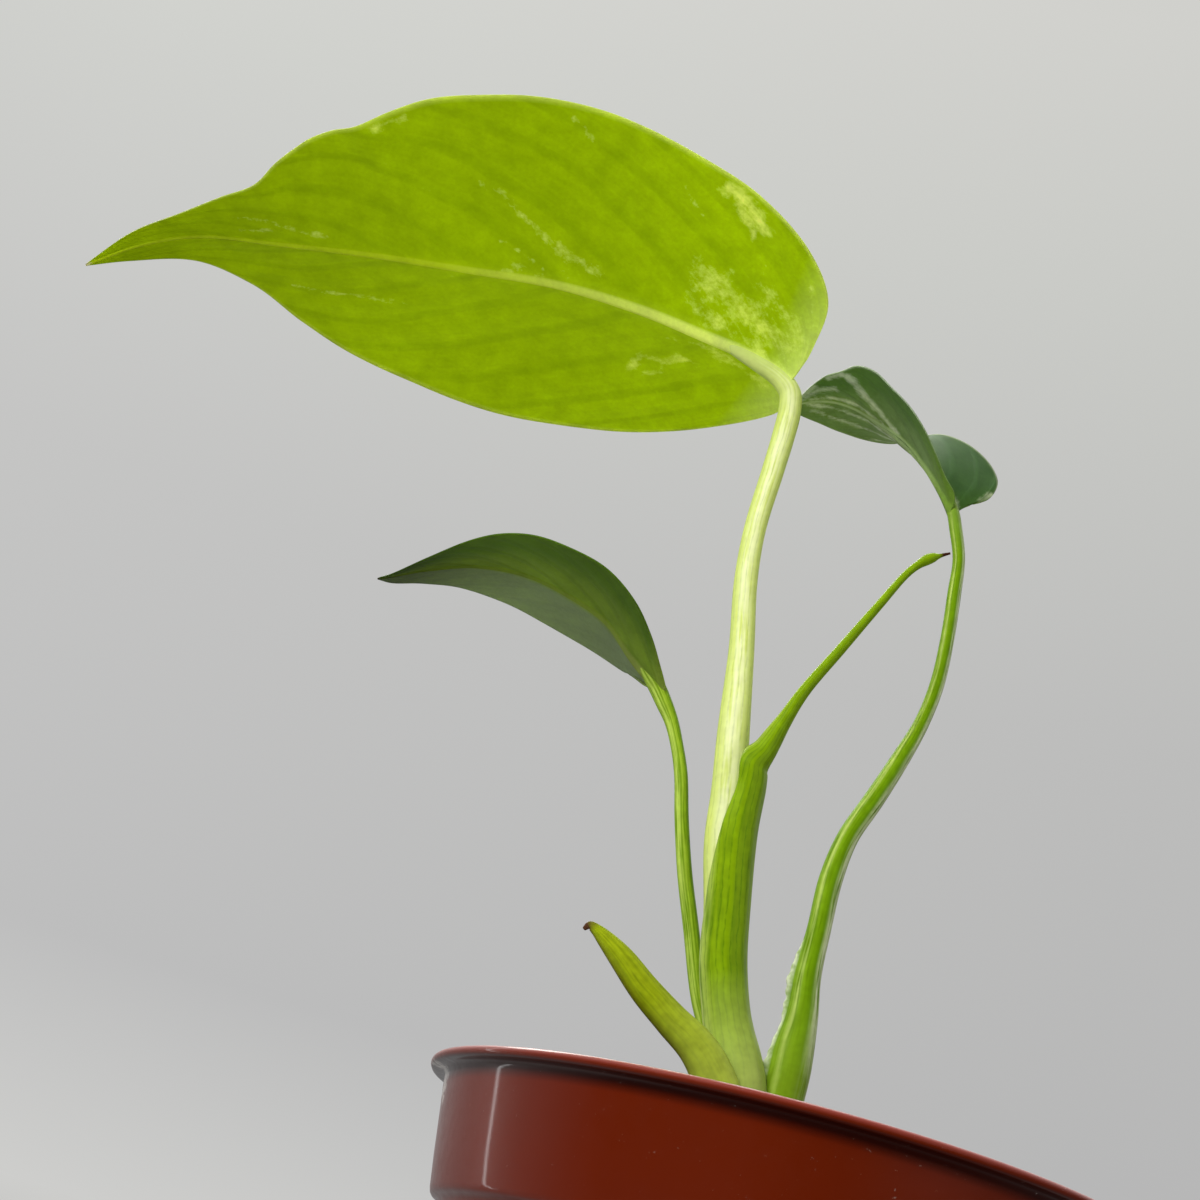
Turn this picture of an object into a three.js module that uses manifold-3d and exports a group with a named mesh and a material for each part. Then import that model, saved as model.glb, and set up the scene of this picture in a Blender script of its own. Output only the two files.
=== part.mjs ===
// Potted swiss cheese plant: a young climber with three leaves, a rolled new leaf and a side shoot,
// standing in potting mix in a round moulded nursery pot.
// Units are millimetres and +Z is up. The origin is the centre of the pot's base.
// The plant is drawn as seen from -Y: +X is to the right, and its big leaf reaches to the left.

import * as THREE from 'three';
import { mergeVertices } from 'three/addons/utils/BufferGeometryUtils.js';
import Module from 'manifold-3d';

const wasm = await Module();
wasm.setup();

// Driving dimensions of the pot
const POT_HEIGHT = 92;
const LIP_RADIUS = 52.5;
const LIP_DEPTH = 1.4;
const COLLAR_HEIGHT = 18.5;
const COLLAR_TOP_RADIUS = 50.6;
const COLLAR_BOTTOM_RADIUS = 47.8;
const BODY_TOP_RADIUS = 46.2;
const BASE_RADIUS = 36.5;
const BASE_CHAMFER = 1;
const POT_WALL = 1.1;
const FLOOR_THICKNESS = 1.8;
const DRAIN_HOLES = 8;
const DRAIN_RADIUS = 4;
const DRAIN_CIRCLE_RADIUS = 25;

// Driving dimensions of the potting mix and of what lies on it
const SEAT_GAP = 0.3;
const SOIL_TOP = 82;
const SOIL_EDGE_DROP = 1.5;
const SOIL_FLAT_RADIUS = 43;
const CROWN_X = -7;
const CROWN_Y = -0.5;
const CROWN_TOP = 93.3;
const STALK_FOOT = 94.2;
const CROWN_BOTTOM = 68;
const CROWN_TOP_RADIUS = 7.4;
const CROWN_NECK_RADIUS = 6;
const CROWN_FOOT_RADIUS = 4.5;

// Driving dimensions of the leaves
const BLADE_THICKNESS = 0.8;
const MARGIN_SWEEP = 0.6;
const BLADE_START = 0.004;
const BLADE_END = 0.995;
const ROW_CROWDING = 1.3;

// Steps around and along the turned and lofted shapes
const POT_STEPS = 60;
const SOIL_STEPS = 40;
const STALK_SIDES = 12;

const COLOURS = {
  terracottaPlastic: { color: 0x8a3018, roughness: 0.3, metalness: 0 },
  pottingMix: { color: 0x33241a, roughness: 0.95, metalness: 0 },
  bark: { color: 0x5d3a22, roughness: 0.9, metalness: 0 },
  perlite: { color: 0xe4e1d8, roughness: 0.9, metalness: 0 },
  crown: { color: 0x7f9140, roughness: 0.6, metalness: 0 },
  paleStalk: { color: 0xd3e48c, roughness: 0.45, metalness: 0 },
  greenStalk: { color: 0x6f9a1c, roughness: 0.45, metalness: 0 },
  litLeaf: { color: 0x93b80c, roughness: 0.45, metalness: 0 },
  darkLeaf: { color: 0x4b741c, roughness: 0.5, metalness: 0 },
  dullLeaf: { color: 0x4d7040, roughness: 0.5, metalness: 0 },
};

const plant = new THREE.Group();

function addPart(name, geometry, finish) {
  geometry.computeVertexNormals();
  const mesh = new THREE.Mesh(geometry, new THREE.MeshStandardMaterial(COLOURS[finish]));
  mesh.name = name;
  plant.add(mesh);
  return mesh;
}

// Solid geometry helpers

// A turned shape: the profile's points are [radius, height] and the axis is +Z
function turned(profile, steps) {
  const points = profile.map(([radius, height]) => new THREE.Vector2(radius, height));
  return new THREE.LatheGeometry(points, steps).rotateX(Math.PI / 2);
}

function toSolid(geometry) {
  const bare = geometry.clone();
  bare.deleteAttribute('normal');
  bare.deleteAttribute('uv');
  const merged = mergeVertices(bare, 1e-4);
  const index = merged.index.array;
  const triangles = [];
  for (let i = 0; i < index.length; i += 3) {
    const [a, b, c] = [index[i], index[i + 1], index[i + 2]];
    if (a !== b && b !== c && c !== a) triangles.push(a, b, c);
  }
  return new wasm.Manifold(new wasm.Mesh({
    numProp: 3,
    vertProperties: new Float32Array(merged.attributes.position.array),
    triVerts: new Uint32Array(triangles),
  }));
}

function toGeometry(solid) {
  const mesh = solid.getMesh();
  const geometry = new THREE.BufferGeometry();
  geometry.setAttribute('position', new THREE.BufferAttribute(new Float32Array(mesh.vertProperties), 3));
  geometry.setIndex(new THREE.BufferAttribute(new Uint32Array(mesh.triVerts), 1));
  return geometry;
}

// A closed skin over a row of rings. Every ring runs once around the section, and its point k
// faces its point n - k across the section, which is how both ends are closed.
function closedLoft(rings) {
  const n = rings[0].length;
  const last = rings.length - 1;
  const positions = rings.flat().flatMap((point) => [point.x, point.y, point.z]);
  const at = (ring, k) => ring * n + ((k + n) % n);
  const faces = [];
  for (let i = 0; i < last; i += 1) {
    for (let k = 0; k < n; k += 1) {
      faces.push(at(i, k), at(i, k + 1), at(i + 1, k + 1));
      faces.push(at(i, k), at(i + 1, k + 1), at(i + 1, k));
    }
  }
  for (let k = 0; k < n / 2; k += 1) {
    if (k > 0) {
      faces.push(at(0, k), at(0, -k), at(0, k + 1));
      faces.push(at(last, k), at(last, k + 1), at(last, -k));
    }
    if (k < n / 2 - 1) {
      faces.push(at(0, k + 1), at(0, -k), at(0, -k - 1));
      faces.push(at(last, k + 1), at(last, -k - 1), at(last, -k));
    }
  }
  const geometry = new THREE.BufferGeometry();
  geometry.setAttribute('position', new THREE.Float32BufferAttribute(positions, 3));
  geometry.setIndex(faces);
  return geometry;
}

function curveThrough(points) {
  return new THREE.CatmullRomCurve3(points.map((point) => new THREE.Vector3(...point)));
}

// A value that changes evenly from station to station, as t goes from 0 to 1
function blendStations(values, t) {
  const place = t * (values.length - 1);
  const before = Math.min(Math.floor(place), values.length - 2);
  return THREE.MathUtils.lerp(values[before], values[before + 1], place - before);
}

// The directions across a stalk at t: to its right as seen from the front, and to its back
function acrossStalk(curve, t) {
  const along = curve.getTangent(t);
  const right = new THREE.Vector3(0, 1, 0).cross(along).normalize();
  const back = along.clone().cross(right).normalize();
  return { right, back };
}

// The point of a stalk's section at an angle from its front, turning to its right
function onSection(centre, { right, back }, angle, halfWidth, halfDepth) {
  return centre.clone()
    .addScaledVector(right, Math.sin(angle) * halfWidth)
    .addScaledVector(back, -Math.cos(angle) * halfDepth);
}

// A leaf stalk: an oval section whose half width follows its stations along the path
function stalk({ path, halfWidths, depthRatio, steps }) {
  const curve = curveThrough(path);
  const rings = [];
  for (let i = 0; i <= steps; i += 1) {
    const t = i / steps;
    const centre = curve.getPoint(t);
    const directions = acrossStalk(curve, t);
    const halfWidth = blendStations(halfWidths, t);
    const ring = [];
    for (let k = 0; k < STALK_SIDES; k += 1) {
      const angle = (2 * Math.PI * k) / STALK_SIDES;
      ring.push(onSection(centre, directions, angle, halfWidth, halfWidth * depthRatio));
    }
    rings.push(ring);
  }
  return closedLoft(rings);
}

// A rolled sheath: a channel open at its back, from one side angle to the other in degrees
function rolledSheath({ path, outer, inner, from, to, steps, sides }) {
  const curve = curveThrough(path);
  const rings = [];
  for (let i = 0; i <= steps; i += 1) {
    const t = i / steps;
    const centre = curve.getPoint(t);
    const directions = acrossStalk(curve, t);
    const start = THREE.MathUtils.degToRad(blendStations(from, t));
    const end = THREE.MathUtils.degToRad(blendStations(to, t));
    const outside = blendStations(outer, t);
    const inside = blendStations(inner, t);
    const middle = (outside + inside) / 2;
    const outerWall = [];
    const innerWall = [];
    for (let k = 1; k < sides; k += 1) {
      const angle = THREE.MathUtils.lerp(start, end, k / sides);
      outerWall.push(onSection(centre, directions, angle, outside, outside));
      innerWall.unshift(onSection(centre, directions, angle, inside, inside));
    }
    rings.push([
      onSection(centre, directions, start, middle, middle),
      ...outerWall,
      onSection(centre, directions, end, middle, middle),
      ...innerWall,
    ]);
  }
  return closedLoft(rings);
}

// A leaf blade: a thin skin spread from its midrib to its near and far margins. All three curves
// run from the foot of the blade to its tip, and each row sweeps forward along the side veins.
function leafBlade({ midrib, nearMargin, farMargin, rows, columns }) {
  const rib = curveThrough(midrib);
  const foot = midrib[0];
  const tip = midrib[midrib.length - 1];
  const near = curveThrough([foot, ...nearMargin, tip]);
  const far = curveThrough([foot, ...farMargin, tip]);
  const grid = [];
  for (let i = 0; i <= rows; i += 1) {
    const t = THREE.MathUtils.lerp(BLADE_START, BLADE_END, (i / rows) ** ROW_CROWDING);
    const ribPoint = rib.getPointAt(t);
    const nearPoint = near.getPointAt(t ** MARGIN_SWEEP);
    const farPoint = far.getPointAt(t ** MARGIN_SWEEP);
    const row = [];
    for (let k = -columns; k <= columns; k += 1) {
      const margin = k < 0 ? nearPoint : farPoint;
      row.push(ribPoint.clone().lerp(margin, Math.abs(k) / columns));
    }
    grid.push(row);
  }
  const skin = new THREE.BufferGeometry();
  const width = 2 * columns + 1;
  skin.setAttribute('position', new THREE.Float32BufferAttribute(
    grid.flat().flatMap((point) => [point.x, point.y, point.z]), 3));
  const faces = [];
  for (let i = 0; i < grid.length - 1; i += 1) {
    for (let k = 0; k < width - 1; k += 1) {
      const corner = i * width + k;
      faces.push(corner, corner + 1, corner + width, corner + 1, corner + width + 1, corner + width);
    }
  }
  skin.setIndex(faces);
  skin.computeVertexNormals();
  const normals = skin.attributes.normal;
  const rings = grid.map((row, i) => {
    const upper = [];
    const lower = [];
    for (let k = 1; k < width - 1; k += 1) {
      const normal = new THREE.Vector3().fromBufferAttribute(normals, i * width + k);
      upper.push(row[k].clone().addScaledVector(normal, BLADE_THICKNESS / 2));
      lower.unshift(row[k].clone().addScaledVector(normal, -BLADE_THICKNESS / 2));
    }
    return [row[0], ...upper, row[width - 1], ...lower];
  });
  return closedLoft(rings);
}

// Nursery pot: one thin moulding with a rolled lip, a deep collar, a ledge and a tapered body

const COLLAR_BOTTOM = POT_HEIGHT - COLLAR_HEIGHT;
const LIP_UNDERSIDE = POT_HEIGHT - LIP_DEPTH;

function potProfile() {
  const ledgeDrop = 0.9;
  const inward = POT_WALL;
  return [
    [0, 0],
    [BASE_RADIUS - BASE_CHAMFER, 0],
    [BASE_RADIUS, BASE_CHAMFER],
    [BODY_TOP_RADIUS, COLLAR_BOTTOM - ledgeDrop],
    [COLLAR_BOTTOM_RADIUS - 0.9, COLLAR_BOTTOM],
    [COLLAR_BOTTOM_RADIUS - 0.2, COLLAR_BOTTOM + 0.3],
    [COLLAR_BOTTOM_RADIUS, COLLAR_BOTTOM + 1],
    [COLLAR_TOP_RADIUS, LIP_UNDERSIDE - 0.3],
    [COLLAR_TOP_RADIUS + 0.3, LIP_UNDERSIDE],
    [LIP_RADIUS - 0.5, LIP_UNDERSIDE],
    [LIP_RADIUS, LIP_UNDERSIDE + 0.5],
    [LIP_RADIUS, POT_HEIGHT - 0.5],
    [LIP_RADIUS - 0.5, POT_HEIGHT],
    [COLLAR_TOP_RADIUS - inward + 0.5, POT_HEIGHT],
    [COLLAR_TOP_RADIUS - inward, POT_HEIGHT - 0.6],
    [COLLAR_BOTTOM_RADIUS - inward, COLLAR_BOTTOM + 1.4],
    [BODY_TOP_RADIUS - inward, COLLAR_BOTTOM],
    [BASE_RADIUS - inward, FLOOR_THICKNESS],
    [0, FLOOR_THICKNESS],
  ];
}

function nurseryPot() {
  let pot = toSolid(turned(potProfile(), POT_STEPS));
  for (let i = 0; i < DRAIN_HOLES; i += 1) {
    const angle = (2 * Math.PI * (i + 0.5)) / DRAIN_HOLES;
    const drill = new THREE.CylinderGeometry(DRAIN_RADIUS, DRAIN_RADIUS, 4 * FLOOR_THICKNESS, 20);
    drill.rotateX(Math.PI / 2);
    drill.translate(DRAIN_CIRCLE_RADIUS * Math.cos(angle), DRAIN_CIRCLE_RADIUS * Math.sin(angle), 0);
    pot = pot.subtract(toSolid(drill));
  }
  return toGeometry(pot);
}

addPart('nursery_pot', nurseryPot(), 'terracottaPlastic');

// Potting mix: fills the pot up to a centimetre below the lip, with a socket for the crown

function crownProfile(gap) {
  return [
    [0, CROWN_BOTTOM - gap],
    [CROWN_FOOT_RADIUS * 0.6 + gap, CROWN_BOTTOM - gap],
    [CROWN_FOOT_RADIUS + gap, CROWN_BOTTOM + 3],
    [CROWN_NECK_RADIUS + gap, SOIL_TOP - 2],
    [CROWN_NECK_RADIUS + gap, SOIL_TOP + 3],
    [CROWN_TOP_RADIUS + gap, CROWN_TOP - 3],
    [CROWN_TOP_RADIUS - 0.6 + gap, CROWN_TOP + gap],
    [0, CROWN_TOP + gap],
  ];
}

function crownShape(gap) {
  return turned(crownProfile(gap), 20).translate(CROWN_X, CROWN_Y, 0);
}

function pottingSoil() {
  const inset = POT_WALL + SEAT_GAP;
  const taper = (COLLAR_TOP_RADIUS - COLLAR_BOTTOM_RADIUS) / (LIP_UNDERSIDE - COLLAR_BOTTOM);
  const edgeHeight = SOIL_TOP - SOIL_EDGE_DROP;
  const edgeRadius = COLLAR_BOTTOM_RADIUS + taper * (edgeHeight - COLLAR_BOTTOM - 2) - inset;
  const soil = turned([
    [0, FLOOR_THICKNESS + SEAT_GAP],
    [BASE_RADIUS - inset - 0.2, FLOOR_THICKNESS + SEAT_GAP],
    [BODY_TOP_RADIUS - inset - 0.2, COLLAR_BOTTOM],
    [COLLAR_BOTTOM_RADIUS - inset - 0.2, COLLAR_BOTTOM + 2],
    [edgeRadius, edgeHeight],
    [SOIL_FLAT_RADIUS, SOIL_TOP],
    [0, SOIL_TOP],
  ], SOIL_STEPS);
  return toGeometry(toSolid(soil).subtract(toSolid(crownShape(SEAT_GAP))));
}

addPart('potting_soil', pottingSoil(), 'pottingMix');

// Loose bark and perlite on the mix, each given by where it lies, how it is turned and its size

const BARK_CHIPS = [
  { bearing: 200, reach: 24, turn: 20, size: [15, 8, 3.4] },
  { bearing: 238, reach: 33, turn: 75, size: [13, 9, 3] },
  { bearing: 285, reach: 22, turn: 140, size: [12, 7, 3.6] },
  { bearing: 322, reach: 35, turn: 45, size: [16, 7, 3] },
  { bearing: 12, reach: 19, turn: 110, size: [11, 7, 3] },
  { bearing: 58, reach: 33, turn: 160, size: [14, 8, 3.2] },
  { bearing: 112, reach: 23, turn: 30, size: [12, 8, 3] },
  { bearing: 158, reach: 35, turn: 95, size: [15, 9, 3.4] },
];

const PERLITE_GRAINS = [
  { bearing: 178, reach: 30, turn: 0, size: [4.4, 3.8, 3.2] },
  { bearing: 218, reach: 38, turn: 50, size: [3.8, 3.4, 3] },
  { bearing: 262, reach: 30, turn: 80, size: [4.6, 4, 3.4] },
  { bearing: 302, reach: 32, turn: 10, size: [3.6, 3.4, 2.8] },
  { bearing: 345, reach: 30, turn: 60, size: [4.2, 3.8, 3] },
  { bearing: 33, reach: 31, turn: 20, size: [4.8, 4.2, 3.4] },
  { bearing: 85, reach: 26, turn: 100, size: [4, 3.6, 3] },
  { bearing: 135, reach: 33, turn: 45, size: [4.4, 4, 3.2] },
];

function onSoil(geometry, { bearing, reach, turn, size }) {
  geometry.scale(...size);
  geometry.rotateZ(THREE.MathUtils.degToRad(turn));
  geometry.computeBoundingBox();
  const lift = SOIL_TOP + SEAT_GAP - geometry.boundingBox.min.z;
  const angle = THREE.MathUtils.degToRad(bearing);
  return geometry.translate(reach * Math.cos(angle), reach * Math.sin(angle), lift);
}

// A chip split from bark: an eight sided slab with a flat underside and a smaller upper face
function barkChip() {
  return new THREE.CylinderGeometry(0.4, 0.5, 1, 8).rotateX(Math.PI / 2);
}

BARK_CHIPS.forEach((chip, i) => addPart(`bark_chip_${i + 1}`, onSoil(barkChip(), chip), 'bark'));
PERLITE_GRAINS.forEach((grain, i) => {
  addPart(`perlite_grain_${i + 1}`, onSoil(new THREE.DodecahedronGeometry(0.5), grain), 'perlite');
});

// Crown: the short stem that stands in the mix and carries the leaves

addPart('plant_stem', crownShape(0), 'crown');

// Main leaf: a tall pale stalk and the big blade that reaches out to the left

addPart('main_leaf_petiole', stalk({
  path: [
    [-9.3, 2, STALK_FOOT], [-10.5, 2, 100.5], [-13, 2, 109], [-16, 2.2, 117.5], [-18, 2.3, 126.5],
    [-20, 2.3, 135], [-21, 2.5, 143], [-22.5, 2.5, 152], [-24.5, 3, 166], [-26.5, 3, 177],
    [-27.5, 3.3, 186], [-27.5, 3.6, 196.5], [-27.5, 4, 205], [-27.2, 4, 210.8],
  ],
  halfWidths: [2.2, 2.2, 2.3, 2.4, 2.7, 2.8, 2.7, 2.5, 2.1, 2, 1.8, 1.8, 1.8, 1.8],
  depthRatio: 0.9,
  steps: 26,
}), 'paleStalk');

addPart('main_leaf_blade', leafBlade({
  midrib: [
    [-27.5, 4, 212], [-33.5, 4, 215], [-44, 3.5, 217.2], [-54.5, 3, 219], [-68.5, 2.5, 220],
    [-83.5, 2, 219], [-99, 2, 218], [-116, 2.5, 216.5], [-130, 3, 215], [-139.5, 4, 211.5], [-148, 5, 206],
  ],
  nearMargin: [
    [-25, -3.5, 216.5], [-24, -11.5, 220.5], [-28.5, -18.5, 225], [-37.5, -22.5, 230], [-48, -25, 233.5],
    [-58, -26.5, 235.5], [-68, -27.3, 236.3], [-84, -26.3, 235], [-99, -21, 231], [-111, -15, 226.7],
    [-120.5, -7, 221.5], [-133, -1, 216], [-141, 2.5, 211.5],
  ],
  farMargin: [
    [-28.5, 10, 210.5], [-32, 15.5, 210.5], [-46, 26.5, 210], [-60, 33, 209.5], [-78.5, 34, 209],
    [-96.5, 29.5, 209.5], [-113.5, 19.5, 211.5], [-122, 12.5, 213], [-130, 8.2, 213.5], [-141, 6, 210],
  ],
  rows: 26,
  columns: 7,
}), 'litLeaf');

// Left leaf: a thin stalk and a small arched blade

addPart('left_leaf_petiole', stalk({
  path: [
    [-12.9, 4.8, STALK_FOOT], [-13.4, 4.7, 100.5], [-15, 4.5, 106], [-18, 4.5, 112], [-21.5, 4.5, 121.5],
    [-24.5, 4.5, 129.5], [-27, 4.5, 137.5], [-29, 4.6, 144.5], [-31, 4.8, 149], [-33, 5, 152.5],
    [-35, 5, 155], [-36.1, 5, 156.4],
  ],
  halfWidths: [1, 1.1, 1.2, 1.2, 1.2, 1.15, 1.1, 1.05, 0.95, 1, 1.2, 1.3],
  depthRatio: 0.9,
  steps: 22,
}), 'greenStalk');

addPart('left_leaf_blade', leafBlade({
  midrib: [
    [-36.5, 5, 157], [-41, 5, 161], [-46, 4.5, 165.5], [-53, 4, 168.3], [-60, 3.5, 169.8],
    [-68, 3, 169.3], [-75.5, 2.5, 166.7], [-83, 2, 163],
  ],
  nearMargin: [
    [-36, 1.5, 159], [-38, -3, 162.5], [-41.5, -7, 166], [-46.5, -9.5, 169], [-52, -10.5, 170.8],
    [-58.5, -10.5, 171.5], [-63.5, -9, 171], [-69, -6, 169], [-73.5, -3, 167], [-78, -0.5, 165.5],
  ],
  farMargin: [
    [-39, 8, 158.5], [-43, 14, 161.5], [-49.5, 18, 165], [-57.5, 18, 167.5], [-65, 15.5, 168.7],
    [-71, 11.5, 168], [-76.5, 7.5, 166], [-81, 3.2, 163.3],
  ],
  rows: 20,
  columns: 5,
}), 'darkLeaf');

// Right leaf: a winged stalk with a bend, and a twisted blade with one basal lobe standing up

addPart('right_leaf_petiole', stalk({
  path: [
    [-2.6, 1, STALK_FOOT], [-2.4, 1, 103], [-2.5, 1.5, 107], [-2.5, 2, 112.5], [-3, 2.5, 118.5],
    [-3, 3.2, 126], [-3, 4, 134], [-2, 5, 141], [0.5, 6, 148], [3, 7, 155.5],
    [5, 8, 162.5], [6, 9, 169.5], [6, 10, 178], [5.5, 11, 186], [5, 11.5, 192], [3.5, 11.8, 197], [2.3, 12, 199.9],
  ],
  halfWidths: [2.7, 3.1, 3, 2.4, 2, 1.8, 1.8, 1.65, 1.6, 1.45, 1.2, 1.15, 1.1, 1.1, 1, 1.1, 1.1],
  depthRatio: 0.8,
  steps: 32,
}), 'greenStalk');

addPart('right_leaf_blade', leafBlade({
  midrib: [
    [2, 12, 200.5], [-0.5, 12, 203.5], [-4, 12.5, 207.5], [-8, 13, 211], [-12.5, 14, 213.2],
    [-17, 15, 215], [-21.5, 16.5, 216], [-26, 18.5, 216], [-28.5, 20, 215.5],
  ],
  nearMargin: [
    [2, 9.5, 202], [0, 8, 204], [-2.5, 5.5, 206.7], [-5, 3.5, 209.3], [-8, 2.3, 212], [-11.5, 2, 214.5],
    [-15, 2.5, 217], [-18, 4, 218], [-20.5, 6.5, 217.6], [-23, 9.3, 217.5], [-25, 13, 217], [-27, 17.5, 216.2],
  ],
  farMargin: [
    [4.5, 14, 202.5], [7.5, 16.5, 205.5], [8.5, 18.5, 208.5], [8.3, 20.5, 211.3], [6, 22.5, 215],
    [2, 24, 218], [-2.5, 25, 219], [-6.5, 25.5, 217.5], [-10, 26, 216], [-15, 26, 215.5], [-19, 25, 215.5],
    [-22.5, 23.5, 215.5], [-26, 22, 215.5],
  ],
  rows: 20,
  columns: 5,
}), 'dullLeaf');

// New leaf: its sheath wraps the front of the main stalk and rolls up into a spear to the right

addPart('new_leaf_sheath', rolledSheath({
  path: [
    [-9.3, 0, STALK_FOOT], [-10.5, 0, 100.5], [-13, 0, 108.5], [-15.5, 0, 117], [-17, -0.5, 126],
    [-18.5, -1, 136.5], [-18.5, -1, 143], [-18.5, -1.5, 146.5], [-17, -2, 149.5], [-15.5, -2.5, 154],
    [-13.5, -3, 159.5], [-9.5, -3.5, 167.5], [-5.5, -4, 175.5], [-2.5, -4, 181.5], [0.5, -4, 185],
    [2.5, -4, 186],
  ],
  outer: [3.6, 3.6, 3.6, 3.6, 3.45, 3.45, 3.1, 2.8, 1.7, 1.2, 1, 1, 0.7, 0.7, 0.9, 0.5],
  inner: [2.9, 2.9, 2.9, 2.9, 2.7, 2.7, 2.3, 2.1, 0.8, 0.5, 0.4, 0.4, 0.3, 0.3, 0.4, 0.2],
  from: [-105, -105, -105, -105, -80, -37, -20, -15, -150, -160, -160, -160, -160, -160, -160, -160],
  to: [105, 105, 105, 105, 110, 115, 120, 125, 150, 160, 160, 160, 160, 160, 160, 160],
  steps: 34,
  sides: 9,
}), 'greenStalk');

// Side shoot: a blunt young shoot that ends in a dry hooked tip

addPart('side_shoot', stalk({
  path: [
    [-9.5, -5.9, STALK_FOOT], [-11.5, -6, 99.5], [-15, -6.5, 102.7], [-20, -7, 105.6],
    [-25, -8, 108.6], [-29.5, -9, 112], [-33, -9.5, 114.4], [-35, -10, 115],
  ],
  halfWidths: [1.6, 2.7, 2.9, 2.6, 2.25, 1.9, 1.3, 0.5],
  depthRatio: 0.7,
  steps: 16,
}), 'greenStalk');

export default plant;
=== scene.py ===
import math

import bmesh
import bpy
import numpy as np
from mathutils import Matrix, Vector, noise


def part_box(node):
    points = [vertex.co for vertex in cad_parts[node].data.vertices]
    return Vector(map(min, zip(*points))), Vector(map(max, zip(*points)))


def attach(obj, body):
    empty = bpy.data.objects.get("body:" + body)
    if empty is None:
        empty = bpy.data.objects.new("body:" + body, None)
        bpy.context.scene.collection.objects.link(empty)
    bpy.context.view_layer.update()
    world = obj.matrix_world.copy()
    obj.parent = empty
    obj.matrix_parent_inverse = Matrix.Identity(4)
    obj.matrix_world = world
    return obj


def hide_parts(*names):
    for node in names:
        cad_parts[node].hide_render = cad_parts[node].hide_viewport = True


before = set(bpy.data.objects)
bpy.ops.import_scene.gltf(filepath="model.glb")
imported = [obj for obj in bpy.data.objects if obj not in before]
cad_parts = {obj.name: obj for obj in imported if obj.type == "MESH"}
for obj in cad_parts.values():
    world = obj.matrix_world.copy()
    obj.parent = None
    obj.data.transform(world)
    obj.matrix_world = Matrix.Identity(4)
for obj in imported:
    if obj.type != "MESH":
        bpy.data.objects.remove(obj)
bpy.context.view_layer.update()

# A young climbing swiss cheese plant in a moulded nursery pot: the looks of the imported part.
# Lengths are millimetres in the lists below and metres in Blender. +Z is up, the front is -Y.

MM = 0.001
# Skins are laid out in centimetres along a stalk.
PER_CM = 0.1


# Colour and nodes.

def linear(hex_colour):
    """An sRGB hex colour as the linear RGBA that the shaders take."""
    parts = [int(hex_colour[i:i + 2], 16) / 255 for i in (1, 3, 5)]
    return tuple(c / 12.92 if c <= 0.04045 else ((c + 0.055) / 1.055) ** 2.4 for c in parts) + (1.0,)


def add(tree, kind, inputs=None, ramp=None, **settings):
    """Adds one shader node with its settings, its colour stops and what goes into its sockets.

    A node that goes into a socket gives it its first live output.
    """
    made = tree.nodes.new("ShaderNode" + kind)
    for name, value in settings.items():
        setattr(made, name, value)
    if ramp:
        stops = made.color_ramp.elements
        while len(stops) < len(ramp):
            stops.new(1.0)
        for stop, (place, colour) in zip(stops, ramp):
            stop.position = place
            stop.color = colour if isinstance(colour, tuple) else (colour, colour, colour, 1.0)
    for socket, value in (inputs or {}).items():
        if isinstance(value, bpy.types.Node):
            value = next(output for output in value.outputs if output.enabled)
        if isinstance(value, bpy.types.NodeSocket):
            tree.links.new(value, made.inputs[socket])
        else:
            made.inputs[socket].default_value = value
    return made


def blank(name):
    """A new material with nothing in it but its output."""
    finish = bpy.data.materials.new(name)
    finish.use_nodes = True
    finish.node_tree.nodes.clear()
    return finish, finish.node_tree


def show(tree, shader):
    """Sends a shader to the material's surface."""
    add(tree, "OutputMaterial", {"Surface": shader})


# Curves and lattices.

def curve(points, shares):
    """Points at these shares of the length of a smooth curve. Further columns are carried along."""
    p = np.asarray(points, float)
    gap = np.sqrt(np.linalg.norm(np.diff(p[:, :3], axis=0), axis=1))
    knots = np.concatenate(([0.0], np.cumsum(gap)))
    rise = np.diff(p, axis=0) / gap[:, None]
    slope = np.empty_like(p)
    slope[0], slope[-1] = rise[0], rise[-1]
    slope[1:-1] = rise[:-1] - (p[2:] - p[:-2]) / (knots[2:] - knots[:-2])[:, None] + rise[1:]
    u = np.linspace(0, 1, 33)[:-1, None]
    fine = []
    for i, h in enumerate(gap):
        fine.append(
            (2 * u**3 - 3 * u**2 + 1) * p[i] + (u**3 - 2 * u**2 + u) * h * slope[i]
            + (3 * u**2 - 2 * u**3) * p[i + 1] + (u**3 - u**2) * h * slope[i + 1]
        )
    fine = np.concatenate(fine + [p[-1:]])
    run = np.concatenate(([0.0], np.cumsum(np.linalg.norm(np.diff(fine[:, :3], axis=0), axis=1))))
    return np.column_stack([np.interp(np.asarray(shares) * run[-1], run, c) for c in fine.T])


def unit(vectors):
    """Vectors scaled to length one."""
    return vectors / np.maximum(np.linalg.norm(vectors, axis=-1, keepdims=True), 1e-9)


def smooth(low, high, x):
    """A soft step from 0 at low to 1 at high."""
    t = np.clip((x - low) / (high - low), 0, 1)
    return t * t * (3 - 2 * t)


def grain(points, size, seed=0.0):
    """Smooth noise from -1 to 1 at each point, with features about size millimetres across."""
    shift = Vector((seed * 7.1, seed * 3.3, seed * 5.7))
    flat = points.reshape(-1, 3) / size
    return np.array([noise.noise(Vector(p) + shift) for p in flat]).reshape(points.shape[:-1])


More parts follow.
